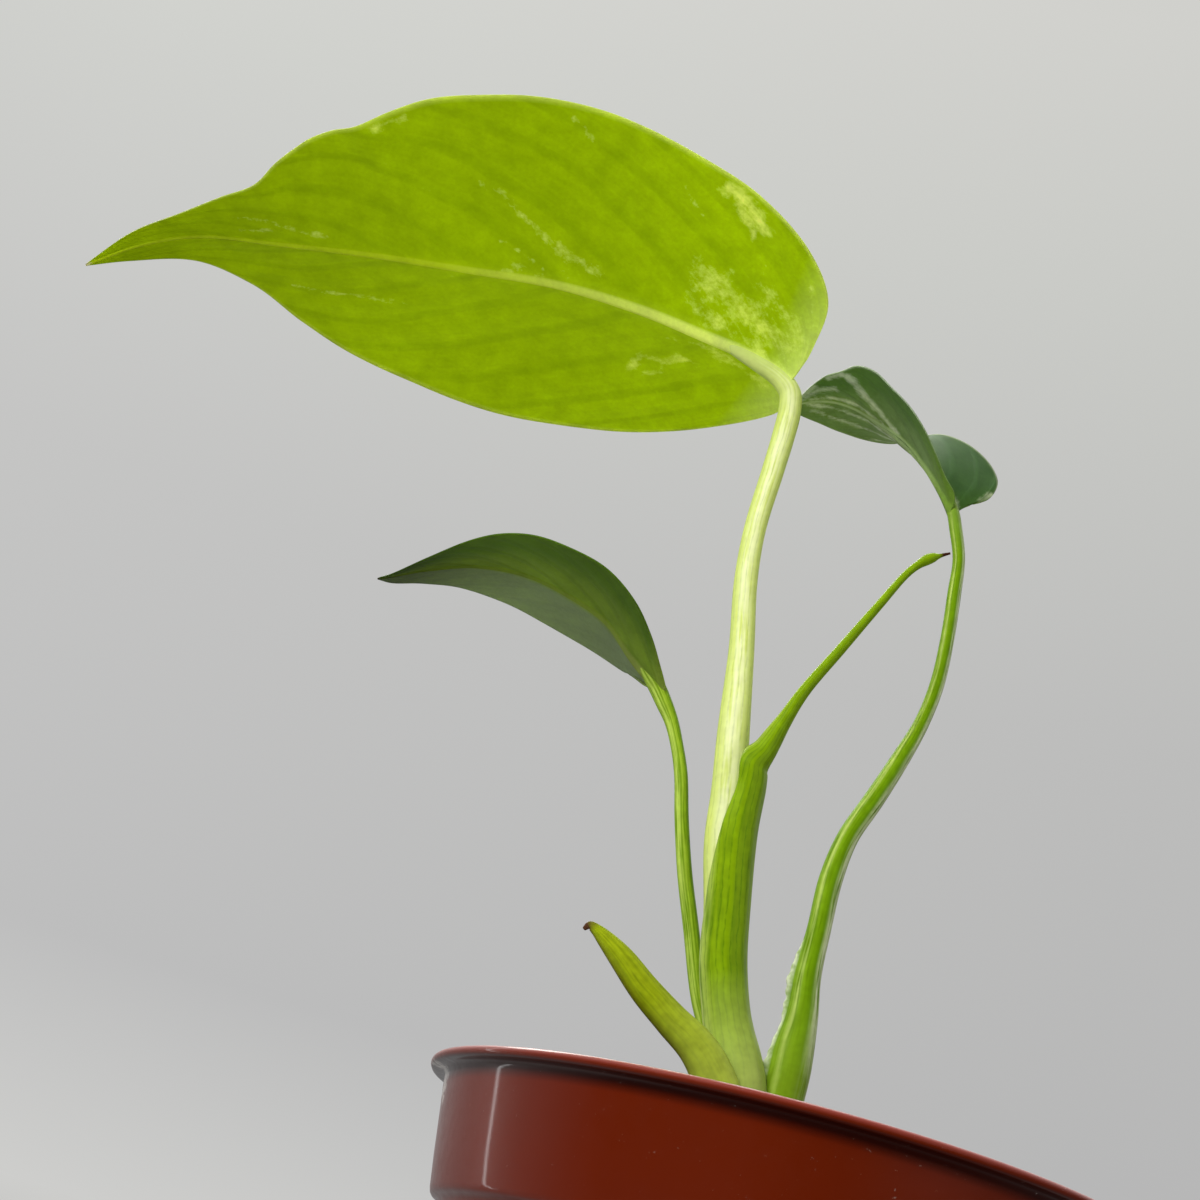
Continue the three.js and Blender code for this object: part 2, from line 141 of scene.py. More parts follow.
def lattice(rows, columns, first=0, closed=False, flip=False):
    """Quads over a lattice of points, and the row and column of each corner."""
    i, j = np.meshgrid(np.arange(rows - 1), np.arange(columns - (not closed)), indexing="ij")
    i, j = i.ravel(), j.ravel()
    corner_row = np.stack([i, i, i + 1, i + 1], 1)
    corner_column = np.stack([j, j + 1, j + 1, j], 1)
    if flip:
        corner_row, corner_column = corner_row[:, ::-1], corner_column[:, ::-1]
    return first + corner_row * columns + corner_column % columns, corner_row, corner_column


def fan(ring, centre, flip=False):
    """Triangles that close a ring of points on a middle point."""
    after = np.roll(ring, -1)
    pairs = (after, ring) if flip else (ring, after)
    return [(a, b, centre) for a, b in zip(*(p.tolist() for p in pairs))]


# Pieces.

def piece(name, node, points, faces, finishes, uv=None, paint=None, finish_of=None, crease=None):
    """One visible piece, made of points in millimetres, that stands for its CAD node.

    uv has one pair for each corner of each face, paint one colour for each point, and finish_of
    one material number for each face. Edges sharper than crease degrees stay sharp.
    """
    mesh = bpy.data.meshes.new(name)
    mesh.from_pydata((np.asarray(points) * MM).tolist(), [], [tuple(f) for f in faces])
    if uv is not None:
        mesh.uv_layers.new(name="skin").data.foreach_set("uv", np.asarray(uv, np.float32).ravel())
    if paint is not None:
        colours = mesh.color_attributes.new(name="paint", type="FLOAT_COLOR", domain="POINT")
        rgba = np.ones((len(points), 4), np.float32)
        rgba[:, :3] = paint
        colours.data.foreach_set("color", rgba.ravel())
    for finish in finishes:
        mesh.materials.append(finish)
    if finish_of is not None:
        mesh.polygons.foreach_set("material_index", np.asarray(finish_of, np.int32))
    mesh.shade_smooth()
    if crease is not None:
        mesh.set_sharp_from_angle(angle=math.radians(crease))
    mesh.update()
    obj = bpy.data.objects.new(name, mesh)
    bpy.context.scene.collection.objects.link(obj)
    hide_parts(node)
    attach(obj, "root")
    return obj


def across(line):
    """The sideways and backward directions along a stalk's middle line."""
    ahead = unit(np.gradient(line, axis=0))
    right = unit(np.cross(np.array([0.0, 1.0, 0.0]), ahead))
    return right, np.cross(ahead, right), ahead


# How far out the rings of a stalk's rounded end stand.
DOME_RINGS = (0.35, 0.65, 0.87)


def stalk(name, node, path, rows, sides, ratio, finish, section=None, dome=(0.4, 0.4)):
    """A solid stalk. path holds x, y, z and half width, ratio is its depth beside its width.

    section scales its outline by the turn round it and the share along it. dome is how far each
    end bulges, in half widths.
    """
    line = curve(path, np.linspace(0, 1, rows))
    middle, half = line[:, :3], line[:, 3]
    right, back, ahead = across(middle)
    turn = np.arange(sides) / sides
    outline = np.ones((rows, sides))
    if section is not None:
        outline = section(turn[None, :], np.linspace(0, 1, rows)[:, None]) * outline
    wide = (half[:, None] * outline)[..., None]
    points = (
        middle[:, None] + right[:, None] * wide * np.sin(2 * np.pi * turn)[None, :, None]
        + back[:, None] * wide * ratio * np.cos(2 * np.pi * turn)[None, :, None]
    )
    rings = [points]
    for end, sign, bulge in ((0, -1, dome[0]), (-1, 1, dome[1])):
        caps = []
        for q in DOME_RINGS:
            around = middle[end] + (points[end] - middle[end]) * math.sqrt(1 - q * q)
            caps.append(around + sign * ahead[end] * half[end] * bulge * q)
        rings = [np.array(caps[::-1])] + rings if end == 0 else rings + [np.array(caps)]
    points = np.concatenate(rings)
    total = len(points)
    flat = points.reshape(-1, 3)
    quads, row, column = lattice(total, sides, closed=True)
    length = np.concatenate(([0.0], np.cumsum(np.linalg.norm(np.diff(points.mean(1), axis=0), axis=1))))
    ends = [
        middle[0] - ahead[0] * half[0] * dome[0],
        middle[-1] + ahead[-1] * half[-1] * dome[1],
    ]
    flat = np.vstack([flat, ends])
    faces = quads.tolist()
    faces += fan(np.arange(sides), total * sides, flip=True)
    faces += fan(np.arange(sides) + (total - 1) * sides, total * sides + 1)
    uv = np.stack([column / sides, length[row] * PER_CM], -1).reshape(-1, 2)
    tips = np.repeat([(0.5, 0.0), (0.5, length[-1] * PER_CM)], sides * 3, axis=0)
    return piece(name, node, flat, faces, [finish], uv=np.vstack([uv, tips]))


# Leaf blades.

BLADE_ROWS = 210
RIDGE_STEPS = (0.25, 0.5, 0.75, 1.0, 1.25, 1.5)
RIDGE_SPREAD = 0.66
BLADE_STEPS = 26
BLADE_START = 0.004
BLADE_END = 0.995
ROW_CROWDING = 1.3
MARGIN_SWEEP = 0.6
MARGIN_CROWDING = 1.15
# How deep the channel above the midrib is, beside the midrib's height, and how wide beside its width.
CHANNEL_DEPTH = 0.35
CHANNEL_WIDTH = 0.6


def blade(name, node, rib, near, far, look, finishes, strokes=()):
    """A leaf blade with a raised midrib below, soft swellings between its veins and a thin margin.

    look holds: ridge (half width at the foot and the tip), rise (midrib height at the foot and the
    tip), camber (how far each half arches up), veins (how many each side), sweep (how far they
    lean to the tip), quilt (how far the leaf swells between them), wave (how far it buckles), body
    and edge (thickness inside and at the margin), and, if it has one, fold: where along the midrib
    the far half folds down beside it, over what share, how far.
    strokes are pale patches: places on the leaf (share along the midrib, share across with the
    near half negative), a half width in millimetres and a strength.
    """
    t = (np.arange(BLADE_ROWS) / (BLADE_ROWS - 1)) ** ROW_CROWDING
    t = BLADE_START + (BLADE_END - BLADE_START) * t
    middle = curve(rib, t)
    ridge = look["ridge"][0] + (look["ridge"][1] - look["ridge"][0]) * t**0.7
    rise = look["rise"][0] + (look["rise"][1] - look["rise"][0]) * t**0.6
    halves, shares, spans = [], [], []
    for margin in (near, far):
        outer = curve([rib[0]] + margin + [rib[-1]], t**MARGIN_SWEEP)
        reach = np.linalg.norm(outer - middle, axis=1)
        foot = np.minimum(ridge / np.maximum(reach, 0.01), 0.6)
        inner = foot[:, None] * np.array(RIDGE_STEPS)[None, :] * RIDGE_SPREAD
        rest = np.arange(1, BLADE_STEPS + 1) / BLADE_STEPS
        rest = 1 - (1 - rest) ** MARGIN_CROWDING
        share = np.hstack([inner, inner[:, -1:] + (1 - inner[:, -1:]) * rest[None, :]])
        halves.append(middle[:, None] + (outer - middle)[:, None] * share[..., None])
        shares.append(share)
        spans.append(reach)
    if "fold" in look:
        at, over, shift = look["fold"]
        pull = np.exp(-(((t - at) / over) ** 2))[:, None] * np.sin(np.pi * shares[1] ** 0.6)
        halves[1] = halves[1] + pull[..., None] * np.array(shift)
    points = np.concatenate([halves[0][:, ::-1], middle[:, None], halves[1]], axis=1)
    signed = np.hstack([-shares[0][:, ::-1], np.zeros((BLADE_ROWS, 1)), shares[1]])
    width = np.abs(signed)
    span = np.where(signed < 0, spans[0][:, None], spans[1][:, None])
    columns = points.shape[1]
    under = unit(np.cross(np.gradient(points, axis=0), np.gradient(points, axis=1)))
    for _ in range(3):
        under[1:-1] = unit(under[:-2] + under[1:-1] * 2 + under[2:])
    largest = max(spans[0].max(), spans[1].max())
    arch = look["camber"] * np.sin(np.pi * width**0.8) * span / largest
    phase = t[:, None] - look["sweep"] * (0.7 * width + 0.3 * width**3)
    roomy = np.minimum(1, span / largest * 1.5)
    swell = look["quilt"] * np.cos(2 * np.pi * look["veins"] * phase) * smooth(0.02, 0.25, width)
    swell *= (1 - smooth(0.75, 1.0, width)) * roomy
    buckle = grain(np.stack([t[:, None] * 40 + 0 * width, signed * 9, 0 * width], -1), 5.0, 4)
    swell += look["wave"] * buckle * smooth(0.1, 0.6, width) * roomy
    points = points - under * (arch + swell)[..., None]
    from_rib = width * span / np.maximum(ridge[:, None], 0.05)
    bead = (0.5 + 0.5 * np.cos(np.pi * np.clip(from_rib, 0, 1))) ** 0.7 * rise[:, None]
    groove = CHANNEL_DEPTH * rise[:, None] * np.exp(-((from_rib / CHANNEL_WIDTH) ** 2))
    thick = look["body"] + (look["edge"] - look["body"]) * smooth(0.55, 1.0, width)
    thick = np.minimum(thick, 0.25 * span + 0.12)
    low = points + under * (thick / 2 + bead)[..., None]
    high = points - under * (thick / 2)[..., None] + under * groove[..., None]
    flat = np.vstack([low.reshape(-1, 3), high.reshape(-1, 3)])
    count = BLADE_ROWS * columns
    low_faces, row, column = lattice(BLADE_ROWS, columns)
    high_faces, high_row, high_column = lattice(BLADE_ROWS, columns, first=count, flip=True)
    place = np.stack([phase, signed], -1)
    faces = low_faces.tolist() + high_faces.tolist()
    uv = [place[row, column].reshape(-1, 2), place[high_row, high_column].reshape(-1, 2)]
    edge = np.concatenate([
        np.arange(columns),
        np.arange(1, BLADE_ROWS) * columns + columns - 1,
        (BLADE_ROWS - 1) * columns + np.arange(columns - 2, -1, -1),
        np.arange(BLADE_ROWS - 2, 0, -1) * columns,
    ])
    after = np.roll(edge, -1)
    band = np.stack([after, edge, edge + count, after + count], 1)
    faces += band.tolist()
    flat_place = np.vstack([place.reshape(-1, 2)] * 2)
    uv.append(flat_place[band].reshape(-1, 2))
    patch = np.zeros(count)
    plan = points.reshape(-1, 3)
    for line, half, strength in strokes:
        spots = []
        for along, over in line:
            nearest = np.argmin(np.abs(t - along))
            spots.append(points[nearest, np.argmin(np.abs(signed[nearest] - over))])
        for a, b in zip(spots[:-1], spots[1:]):
            step = b - a
            share = np.clip((plan - a) @ step / max(step @ step, 1e-9), 0, 1)
            away = np.linalg.norm(plan - a - share[:, None] * step, axis=1)
            patch = np.maximum(patch, strength * (1 - away / (2 * half)))
    ridge_mask = 1 - smooth(0.6, 1.05, from_rib).ravel()
    paint = np.stack([patch, ridge_mask, np.broadcast_to(t[:, None], signed.shape).ravel()], -1)
    finish_of = np.zeros(len(faces), np.int32)
    finish_of[len(low_faces):len(low_faces) + len(high_faces)] = 1
    return piece(name, node, flat, faces, finishes, uv=np.vstack(uv), paint=np.vstack([paint, paint]),
                 finish_of=finish_of)


# Finishes.

# A wave texture has this many bands to a unit at scale 1.
WAVE_BANDS = 3.183
WAX_IOR = 1.45


def leaf_skin(name, tones, glow, roughness, specular, veins, contrast, foot, halves=(0.0, 0.0),
              tip_shade=1.0, painted_foot_light=1.0):
    """Living leaf tissue: waxy outside, juicy inside, so that light comes through it yellow-green.

    tones holds its colours: main and deep (the mottle), vein, rib and rib_tip, pale (without
    chlorophyll), margin and far (a painted grey sheen on the far half), lit and lit_pale (the
    light that comes through), foot (by the stalk) and dry (the point). contrast is how far the
    veins stand out, foot how far the stalk's colour runs in, halves how far the outer part of the
    near half turns to margin and the far half to its painted sheen, tip_shade how far painted
    shade darkens the tip third and painted_foot_light how far painted light brightens the thin foot.
    """
    finish, tree = blank(name)
    tone = {part: linear(colour) for part, colour in tones.items()}
    skin = add(tree, "UVMap", uv_map="skin")
    place = add(tree, "TexCoord").outputs["Object"]
    side = add(tree, "SeparateXYZ", {"Vector": skin}).outputs["Y"]
    out = add(tree, "Math", {0: side}, operation="ABSOLUTE")
    painted = add(tree, "Attribute", attribute_type="GEOMETRY", attribute_name="paint")
    patch, rib, along = add(tree, "SeparateColor", {"Color": painted}).outputs
    # Blotches 4 mm across, faint streaks along the veins, cells drawn coarser than real ones (0.7 mm),
    # and the fray at the edge of the cream patches.
    swept = add(tree, "Mapping", {"Vector": skin, "Scale": (70.0, 5.0, 1.0)})
    blotch, streak, cells, fray = (
        add(tree, "TexNoise", {"Vector": over, "Scale": scale, "Detail": detail, "Roughness": rough})
        for over, scale, detail, rough in (
            (place, 260.0, 6.0, 0.72), (swept, 1.0, 4.0, 0.6), (place, 1500.0, 3.0, 0.65),
            (place, 900.0, 4.0, 0.7)))
    bands = add(tree, "TexWave", {"Vector": skin, "Scale": veins / WAVE_BANDS, "Distortion": 1.2,
                                  "Detail": 2.0, "Detail Scale": 1.2},
                wave_type="BANDS", bands_direction="X").outputs["Fac"]
    mottle = add(tree, "Math", {0: streak, 1: 0.3, 2: blotch}, operation="MULTIPLY_ADD")
    torn = add(tree, "Math", {0: fray, 1: streak}, operation="ADD")
    torn = add(tree, "Math", {0: blotch, 1: 2.6, 2: torn}, operation="MULTIPLY_ADD")
    field = add(tree, "Math", {0: patch, 1: torn}, operation="ADD")
    fade = {}
    # Each fade: what it follows, where it starts and ends there, and its first and last value.
    for part, follows, start, end, first, last in (
            ("soft", mottle, 0.5, 0.8, 0.0, 1.0), ("veined", bands, 0.2, 0.0, 0.0, 1.0),
            ("near", side, -0.3, -0.75, 0.0, halves[0]), ("far", side, 0.02, 0.16, 0.0, halves[1]),
            ("cream", field, 2.85, 3.75, 0.0, 1.0),
            ("edge", out, 0.965, 1.0, 0.0, 0.0 if halves[1] else 0.5),
            ("rib", along, 0.03, 0.5, 0.0, 1.0), ("stalky", along, foot, 0.0, 0.0, 1.0),
            ("grainy", cells, 0.3, 0.7, 0.86, 1.12), ("dry", along, 0.985, 0.993, 0.0, 1.0),
            ("tip", along, 0.45, 0.85, 1.0, tip_shade), ("foot", along, 0.03, 0.3, painted_foot_light, 1.0)):
        fade[part] = add(tree, "MapRange", {"Value": follows, "From Min": start, "From Max": end,
                                            "To Min": first, "To Max": last})
    veined = add(tree, "Math", {0: fade["veined"], 1: contrast}, operation="MULTIPLY")
    cream = add(tree, "Math", {0: fade["cream"], 1: fade["edge"]}, operation="MAXIMUM")
    thin = add(tree, "Math", {0: cream, 1: rib}, operation="MAXIMUM")
    rib_tone = add(tree, "Mix", {0: fade["rib"], 6: tone["rib"], 7: tone["rib_tip"]},
                   data_type="RGBA")
    colour, through = tone["deep"], tone["lit"]
    # The far tone is a painted grey sheen on the far half. It goes into the colour and into the light that
    # comes through.
    for share, layer in (
            (fade["soft"], tone["main"]), (veined, tone["vein"]), (fade["near"], tone["margin"]),
            (fade["far"], tone["far"]), (cream, tone["pale"]), (rib, rib_tone),
            (fade["stalky"], tone["foot"])):
        colour = add(tree, "Mix", {0: share, 6: colour, 7: layer}, data_type="RGBA")
    for share, layer in (
            (thin, tone["lit_pale"]), (fade["near"], tone["margin"]), (fade["far"], tone["far"]),
            (fade["dry"], tone["dry"])):
        through = add(tree, "Mix", {0: share, 6: through, 7: layer}, data_type="RGBA")
    colour = add(tree, "VectorMath", {0: colour, "Scale": fade["grainy"]}, operation="SCALE")
    colour = add(tree, "Mix", {0: fade["dry"], 6: colour, 7: tone["dry"]}, data_type="RGBA")
    shade = add(tree, "Math", {0: fade["soft"], 1: veined}, operation="SUBTRACT")
    dimmed = add(tree, "MapRange", {"Value": shade, "From Min": -1.0, "To Min": 0.68})
    # Painted shade on the tip third and painted light on the thin foot scale both the colour and the light
    # that comes through.
    ends = add(tree, "Math", {0: fade["tip"], 1: fade["foot"]}, operation="MULTIPLY")
    dimmed = add(tree, "Math", {0: dimmed, 1: ends}, operation="MULTIPLY")
    colour = add(tree, "VectorMath", {0: colour, "Scale": ends}, operation="SCALE")
    through = add(tree, "VectorMath", {0: through, "Scale": dimmed}, operation="SCALE")
    pores = add(tree, "Math", {0: cells, 1: 0.4}, operation="MULTIPLY")
    height = add(tree, "Math", {0: pores, 1: fade["veined"]}, operation="SUBTRACT")
    bump = add(tree, "Bump", {"Height": height, "Strength": 0.25, "Distance": 0.18 * MM})
    waxy = add(tree, "BsdfPrincipled", {"Base Color": colour, "Roughness": roughness, "IOR": WAX_IOR,
                                        "Specular IOR Level": specular, "Normal": bump})
    juicy = add(tree, "BsdfTranslucent", {"Color": through, "Normal": bump})
    show(tree, add(tree, "MixShader", {0: glow, 1: waxy, 2: juicy}))
    return finish


def seen(share):
    """The turn round a stalk of the point this share of the way across its front, left to right."""
    return 0.5 - math.asin(2 * share - 1) / (2 * math.pi)


LONG_VEIN = "#3f6400"


def stalk_skin(name, around, streak, low, roughness, specular, speckle, glow=0.0, lit="#e4ee90",
               dry=None, top=None, film=None, lines=(14, 0.2)):
    """A leaf stalk's smooth, juicy skin. Long fibres under it show as streaks, 0.3 to 0.8 mm wide.

    around holds colours across its front, from left to right: the stalk's own stripes together
    with painted highlights and painted shade, and low tints its foot. dry is where (in
    centimetres along it) the skin turns to brown paper, top where it takes on the leaf's colour,
    and film the turn, half width, height and colour of a thin skin at its side.
    lines holds how many dark beaded veins run round it and how far they show.
    """
    finish, tree = blank(name)
    skin = add(tree, "UVMap", uv_map="skin")
    place = add(tree, "TexCoord").outputs["Object"]
    turn, length, _ = add(tree, "SeparateXYZ", {"Vector": skin}).outputs
    # Colours across the front: the stalk's own stripes with painted highlights and painted shade toward its
    # sides.
    bands = sorted((seen(at), linear(c)) for at, c in around)
    back = tuple((a + b) / 2 for a, b in zip(bands[0][1], bands[-1][1]))
    stripes_and_painted_light = add(tree, "ValToRGB", {"Fac": turn}, ramp=[(0.0, back)] + bands + [(1.0, back)])
    long_way = add(tree, "Mapping", {"Vector": skin, "Scale": (26.0, 1.3, 1.0)})
    fibre, beads, spots = (
        add(tree, "TexNoise", {"Vector": over, "Scale": scale, "Detail": 1.0, "Roughness": rough})
        for over, scale, rough in ((long_way, 1.0, 0.6), (place, 1100.0, 0.5), (place, 700.0, 0.7)))
    threads = add(tree, "TexWave", {"Vector": skin, "Scale": lines[0] / WAVE_BANDS, "Distortion": 2.6,
                                    "Detail": 1.0, "Detail Scale": 0.5},
                  wave_type="BANDS", bands_direction="X").outputs["Fac"]
    streaky, thread, beaded, foot, shade = (
        add(tree, "MapRange", {"Value": follows, "From Min": start, "From Max": end, "To Min": first,
                               "To Max": last})
        for follows, start, end, first, last in (
            (fibre, 0.45, 0.7, 0.0, 1.0), (threads, 0.22, 0.0, 0.0, lines[1]),
            (beads, 0.2, 0.6, 0.0, 1.0), (length, 2.6, 0.8, 0.0, 0.75),
            (spots, 0.3, 0.7, 1 - speckle, 1 + speckle)))
    beading = add(tree, "Math", {0: thread, 1: beaded}, operation="MULTIPLY")
    layers = [(streaky, streak), (beading, LONG_VEIN), (foot, low)]
    if top:
        near_leaf = add(tree, "MapRange", {"Value": length, "From Min": top[0], "From Max": top[1]})
        layers.append((near_leaf, top[2]))
    if film:
        at, half, height, film_tone = film
        off = add(tree, "Math", {0: turn, 1: at}, operation="SUBTRACT")
        off = add(tree, "Math", {0: off}, operation="ABSOLUTE")
        beside, below, frayed = (
            add(tree, "MapRange", {"Value": follows, "From Min": start, "From Max": end, "To Min": first})
            for follows, start, end, first in (
                (off, half, half / 3, 0.0), (length, height + 0.1, height, 0.0), (beads, 0.3, 0.6, 0.35)))
        thin = add(tree, "Math", {0: beside, 1: below}, operation="MULTIPLY")
        thin = add(tree, "Math", {0: thin, 1: frayed}, operation="MULTIPLY")
        layers.append((thin, film_tone))
    colour = stripes_and_painted_light
    for share, layer in layers:
        colour = add(tree, "Mix", {0: share, 6: colour, 7: linear(layer)}, data_type="RGBA")
    colour = add(tree, "VectorMath", {0: colour, "Scale": shade}, operation="SCALE")
    if dry:
        papery = add(tree, "MapRange", {"Value": length, "From Min": dry[0], "From Max": dry[1]})
        colour = add(tree, "Mix", {0: papery, 6: colour, 7: linear(dry[2])}, data_type="RGBA")
    waxy = add(tree, "BsdfPrincipled", {"Base Color": colour, "Roughness": roughness, "IOR": WAX_IOR,
                                        "Specular IOR Level": specular})
    if not glow:
        show(tree, waxy)
        return finish
    tinted = add(tree, "Mix", {0: 0.5, 6: colour, 7: linear(lit)}, data_type="RGBA")
    juicy = add(tree, "BsdfTranslucent", {"Color": tinted})
    show(tree, add(tree, "MixShader", {0: glow, 1: waxy, 2: juicy}))
    return finish


LIME_SPOT = (-0.0496, -0.0105, 0.0886)


def pot_plastic():
    """Injection-moulded polypropylene, coloured terracotta in the mass: dark, thin and smooth.

    Its skin is glossy over a duller body, so it shows one sharp line of light in a soft haze. The
    lip has a pale painted highlight, a dark painted shadow sits in the corner under it, a dried
    lime stain hangs under it at the left, and there are a few water specks.
    """
    finish, tree = blank("moulded_polypropylene")
    place = add(tree, "TexCoord").outputs["Object"]
    height = add(tree, "SeparateXYZ", {"Vector": place}).outputs["Z"]
    flow = add(tree, "Mapping", {"Vector": place, "Scale": (60.0, 60.0, 14.0)})
    # Long flow clouds, water specks 0.3 to 1 mm across, and crumbs of lime.
    cloud, specks, crust = (
        add(tree, "TexNoise", {"Vector": over, "Scale": scale, "Detail": detail, "Roughness": rough})
        for over, scale, detail, rough in (
            (flow, 1.0, 3.0, 0.5), (place, 420.0, 5.0, 0.75), (place, 900.0, 4.0, 0.7)))
    from_stain = add(tree, "VectorMath", {0: place, 1: LIME_SPOT}, operation="DISTANCE")
    near_stain = add(tree, "MapRange", {"Value": from_stain, "From Min": 0.0052, "From Max": 0.0,
                                        "To Max": 0.5})
    lime = add(tree, "Math", {0: near_stain, 1: crust}, operation="ADD")
    # Height bands: two of them bound the painted shadow under the lip, and the third lays a painted
    # highlight on the lip.
    chalk, to_corner, below_lip, painted_lip_highlight, limed, rough = (
        add(tree, "MapRange", {"Value": follows, "From Min": start, "From Max": end, "To Min": first,
                               "To Max": last})
        for follows, start, end, first, last in (
            (specks, 0.66, 0.76, 0.0, 0.25), (height, 0.0883, 0.0897, 0.0, 0.88),
            (height, 0.091, 0.0906, 0.0, 1.0), (height, 0.0911, 0.092, 0.0, 1.0),
            (lime, 0.68, 0.86, 0.0, 0.8), (specks, 0.4, 0.75, 0.3, 0.42)))
    # A painted shadow darkens the corner under the lip, where the two height bands meet.
    painted_shadow_under_lip = add(tree, "Math", {0: to_corner, 1: below_lip}, operation="MULTIPLY")
    colour = linear("#5b1700")
    # Over the base colour: flow clouds, specks, the painted shadow under the lip (#1a0301), the painted
    # highlight on the lip (#8e4036) and the lime stain.
    for share, layer in ((cloud, "#511300"), (chalk, "#a8806c"), (painted_shadow_under_lip, "#1a0301"),
                         (painted_lip_highlight, "#8e4036"), (limed, "#b9b2aa")):
        colour = add(tree, "Mix", {0: share, 6: colour, 7: linear(layer)}, data_type="RGBA")
    gloss = add(tree, "BsdfPrincipled", {"Base Color": colour, "Roughness": rough, "IOR": 1.49,
                                         "Specular IOR Level": 0.3, "Coat Weight": 0.45,
                                         "Coat Roughness": 0.08})
    show(tree, gloss)
    return finish


def crumbly(name, dark, mid, light, coarse, roughness, depth):
    """A dry, matt, uneven stuff such as potting mix, bark or perlite, in three tones.

    It is sieved, broken or puffed, so it shows lumps 1.5 to 3 mm across and no shine. coarse is
    the number of lumps in a metre and depth how deep its pits are, in millimetres.
    """
    finish, tree = blank(name)
    place = add(tree, "TexCoord").outputs["Object"]
    lumps = add(tree, "TexNoise", {"Vector": place, "Scale": coarse, "Detail": 6.0, "Roughness": 0.7})
    tones = add(tree, "ValToRGB", {"Fac": lumps},
                ramp=[(0.3, linear(dark)), (0.5, linear(mid)), (0.72, linear(light))])
    pits = add(tree, "TexVoronoi", {"Vector": place, "Scale": coarse * 2.5}, feature="F1")
    height = add(tree, "Math", {0: lumps, 1: pits}, operation="ADD")
    bump = add(tree, "Bump", {"Height": height, "Strength": 0.8, "Distance": depth * MM})
    matt = add(tree, "BsdfPrincipled", {"Base Color": tones, "Roughness": roughness,
                                        "Specular IOR Level": 0.25, "Normal": bump})
    show(tree, matt)
    return finish


# The nursery pot.

POT_STEPS = 160
POT_PROFILE = [
    (0.0, 0.0), (18.0, 0.0), (35.3, 0.0), (35.9, 0.1), (36.3, 0.4), (36.55, 1.0), (39.6, 25.0),
    (43.0, 50.0), (45.9, 71.6), (46.1, 72.6), (46.4, 73.1), (46.9, 73.4), (47.35, 73.6), (47.65, 73.95),
    (47.85, 74.6), (48.55, 79.0), (49.4, 85.0), (49.95, 88.6), (50.05, 89.4), (50.15, 90.0), (50.5, 90.4),
    (51.2, 90.5), (51.9, 90.6), (52.25, 90.75), (52.45, 91.05), (52.5, 91.35), (52.42, 91.65),
    (52.2, 91.88), (51.85, 92.0), (50.3, 92.0), (49.9, 91.85), (49.62, 91.5), (49.1, 90.0), (47.9, 82.5),
    (46.75, 75.0), (46.3, 74.2), (45.3, 73.6), (44.9, 72.4), (40.4, 39.0), (35.6, 2.4), (35.0, 1.8),
    (18.0, 1.8), (0.0, 1.8),
]
DRAIN_HOLES = 8
DRAIN_RADIUS = 4.0
DRAIN_CIRCLE = 25.0
DRAIN_DEPTH = 8.0
DRAIN_MIDDLE = 0.9
HALF_DRAIN_STEP = 22.5
DRAIN_SIDES = 32
POT_CREASE = 50


def nursery_pot(finish):
    """The thin pot with its rolled lip, deep collar, tapered body and drained base."""
    profile = np.array(POT_PROFILE)
    inner = profile[1:-1]
    angle = 2 * np.pi * np.arange(POT_STEPS) / POT_STEPS
    ring = np.stack([np.cos(angle), np.sin(angle)], -1)
    rows = len(inner)
    heights = np.broadcast_to(inner[:, None, 1:], (rows, POT_STEPS, 1))
    points = np.concatenate([inner[:, None, :1] * ring[None], heights], -1)
    flat = np.vstack([points.reshape(-1, 3), [[0, 0, 0]], [[0, 0, profile[-1, 1]]]])
    faces = lattice(rows, POT_STEPS, closed=True)[0].tolist()
    faces += fan(np.arange(POT_STEPS), rows * POT_STEPS, flip=True)
    faces += fan(np.arange(POT_STEPS) + (rows - 1) * POT_STEPS, rows * POT_STEPS + 1)
    pot = piece("pot_moulding", "nursery_pot", flat, faces, [finish])
    for i in range(DRAIN_HOLES):
        turn = math.radians(HALF_DRAIN_STEP + 360 * i / DRAIN_HOLES)
        bpy.ops.mesh.primitive_cylinder_add(
            vertices=DRAIN_SIDES, radius=DRAIN_RADIUS * MM, depth=DRAIN_DEPTH * MM, location=(
                DRAIN_CIRCLE * MM * math.cos(turn), DRAIN_CIRCLE * MM * math.sin(turn), DRAIN_MIDDLE * MM))
        drill = bpy.context.object
        cut = pot.modifiers.new("drain_hole", "BOOLEAN")
        cut.operation, cut.object, cut.solver = "DIFFERENCE", drill, "EXACT"
        bpy.context.view_layer.objects.active = pot
        bpy.ops.object.modifier_apply(modifier=cut.name)
        bpy.data.objects.remove(drill)
    pot.data.shade_smooth()
    pot.data.set_sharp_from_angle(angle=math.radians(POT_CREASE))
    return pot


# The potting mix and what lies on it.

SOIL_EDGE = 46.9
SOIL_TOP = 82.0
SOIL_STEPS = 150
SOIL_RINGS = 56
SOIL_FOOT = 2.15
SOIL_SIDE = ((46.2, 74.6), (44.7, 72.8), (40.1, 38.0), (35.2, 2.6), (34.4, SOIL_FOOT), (12.0, SOIL_FOOT))
CRUMBS = 620
CRUMB_SEED = 41
# How round a lump is: 1 is a ball and less is boxier.
BARK_ROUNDNESS = 0.42
PERLITE_ROUNDNESS = 0.72
BARK_LAYERS = 3


def crumb(centre, size, seed, facets=1):
    """A small broken lump: an icosphere pushed in and out."""
    made = bmesh.new()
    bmesh.ops.create_icosphere(made, subdivisions=facets, radius=1.0)
    corners = np.array([v.co for v in made.verts])
    sides = [[v.index for v in f.verts] for f in made.faces]
    made.free()
    swell = 1 + 0.35 * grain(corners, 0.9, seed)
    return corners * swell[:, None] * np.asarray(size) + centre, sides


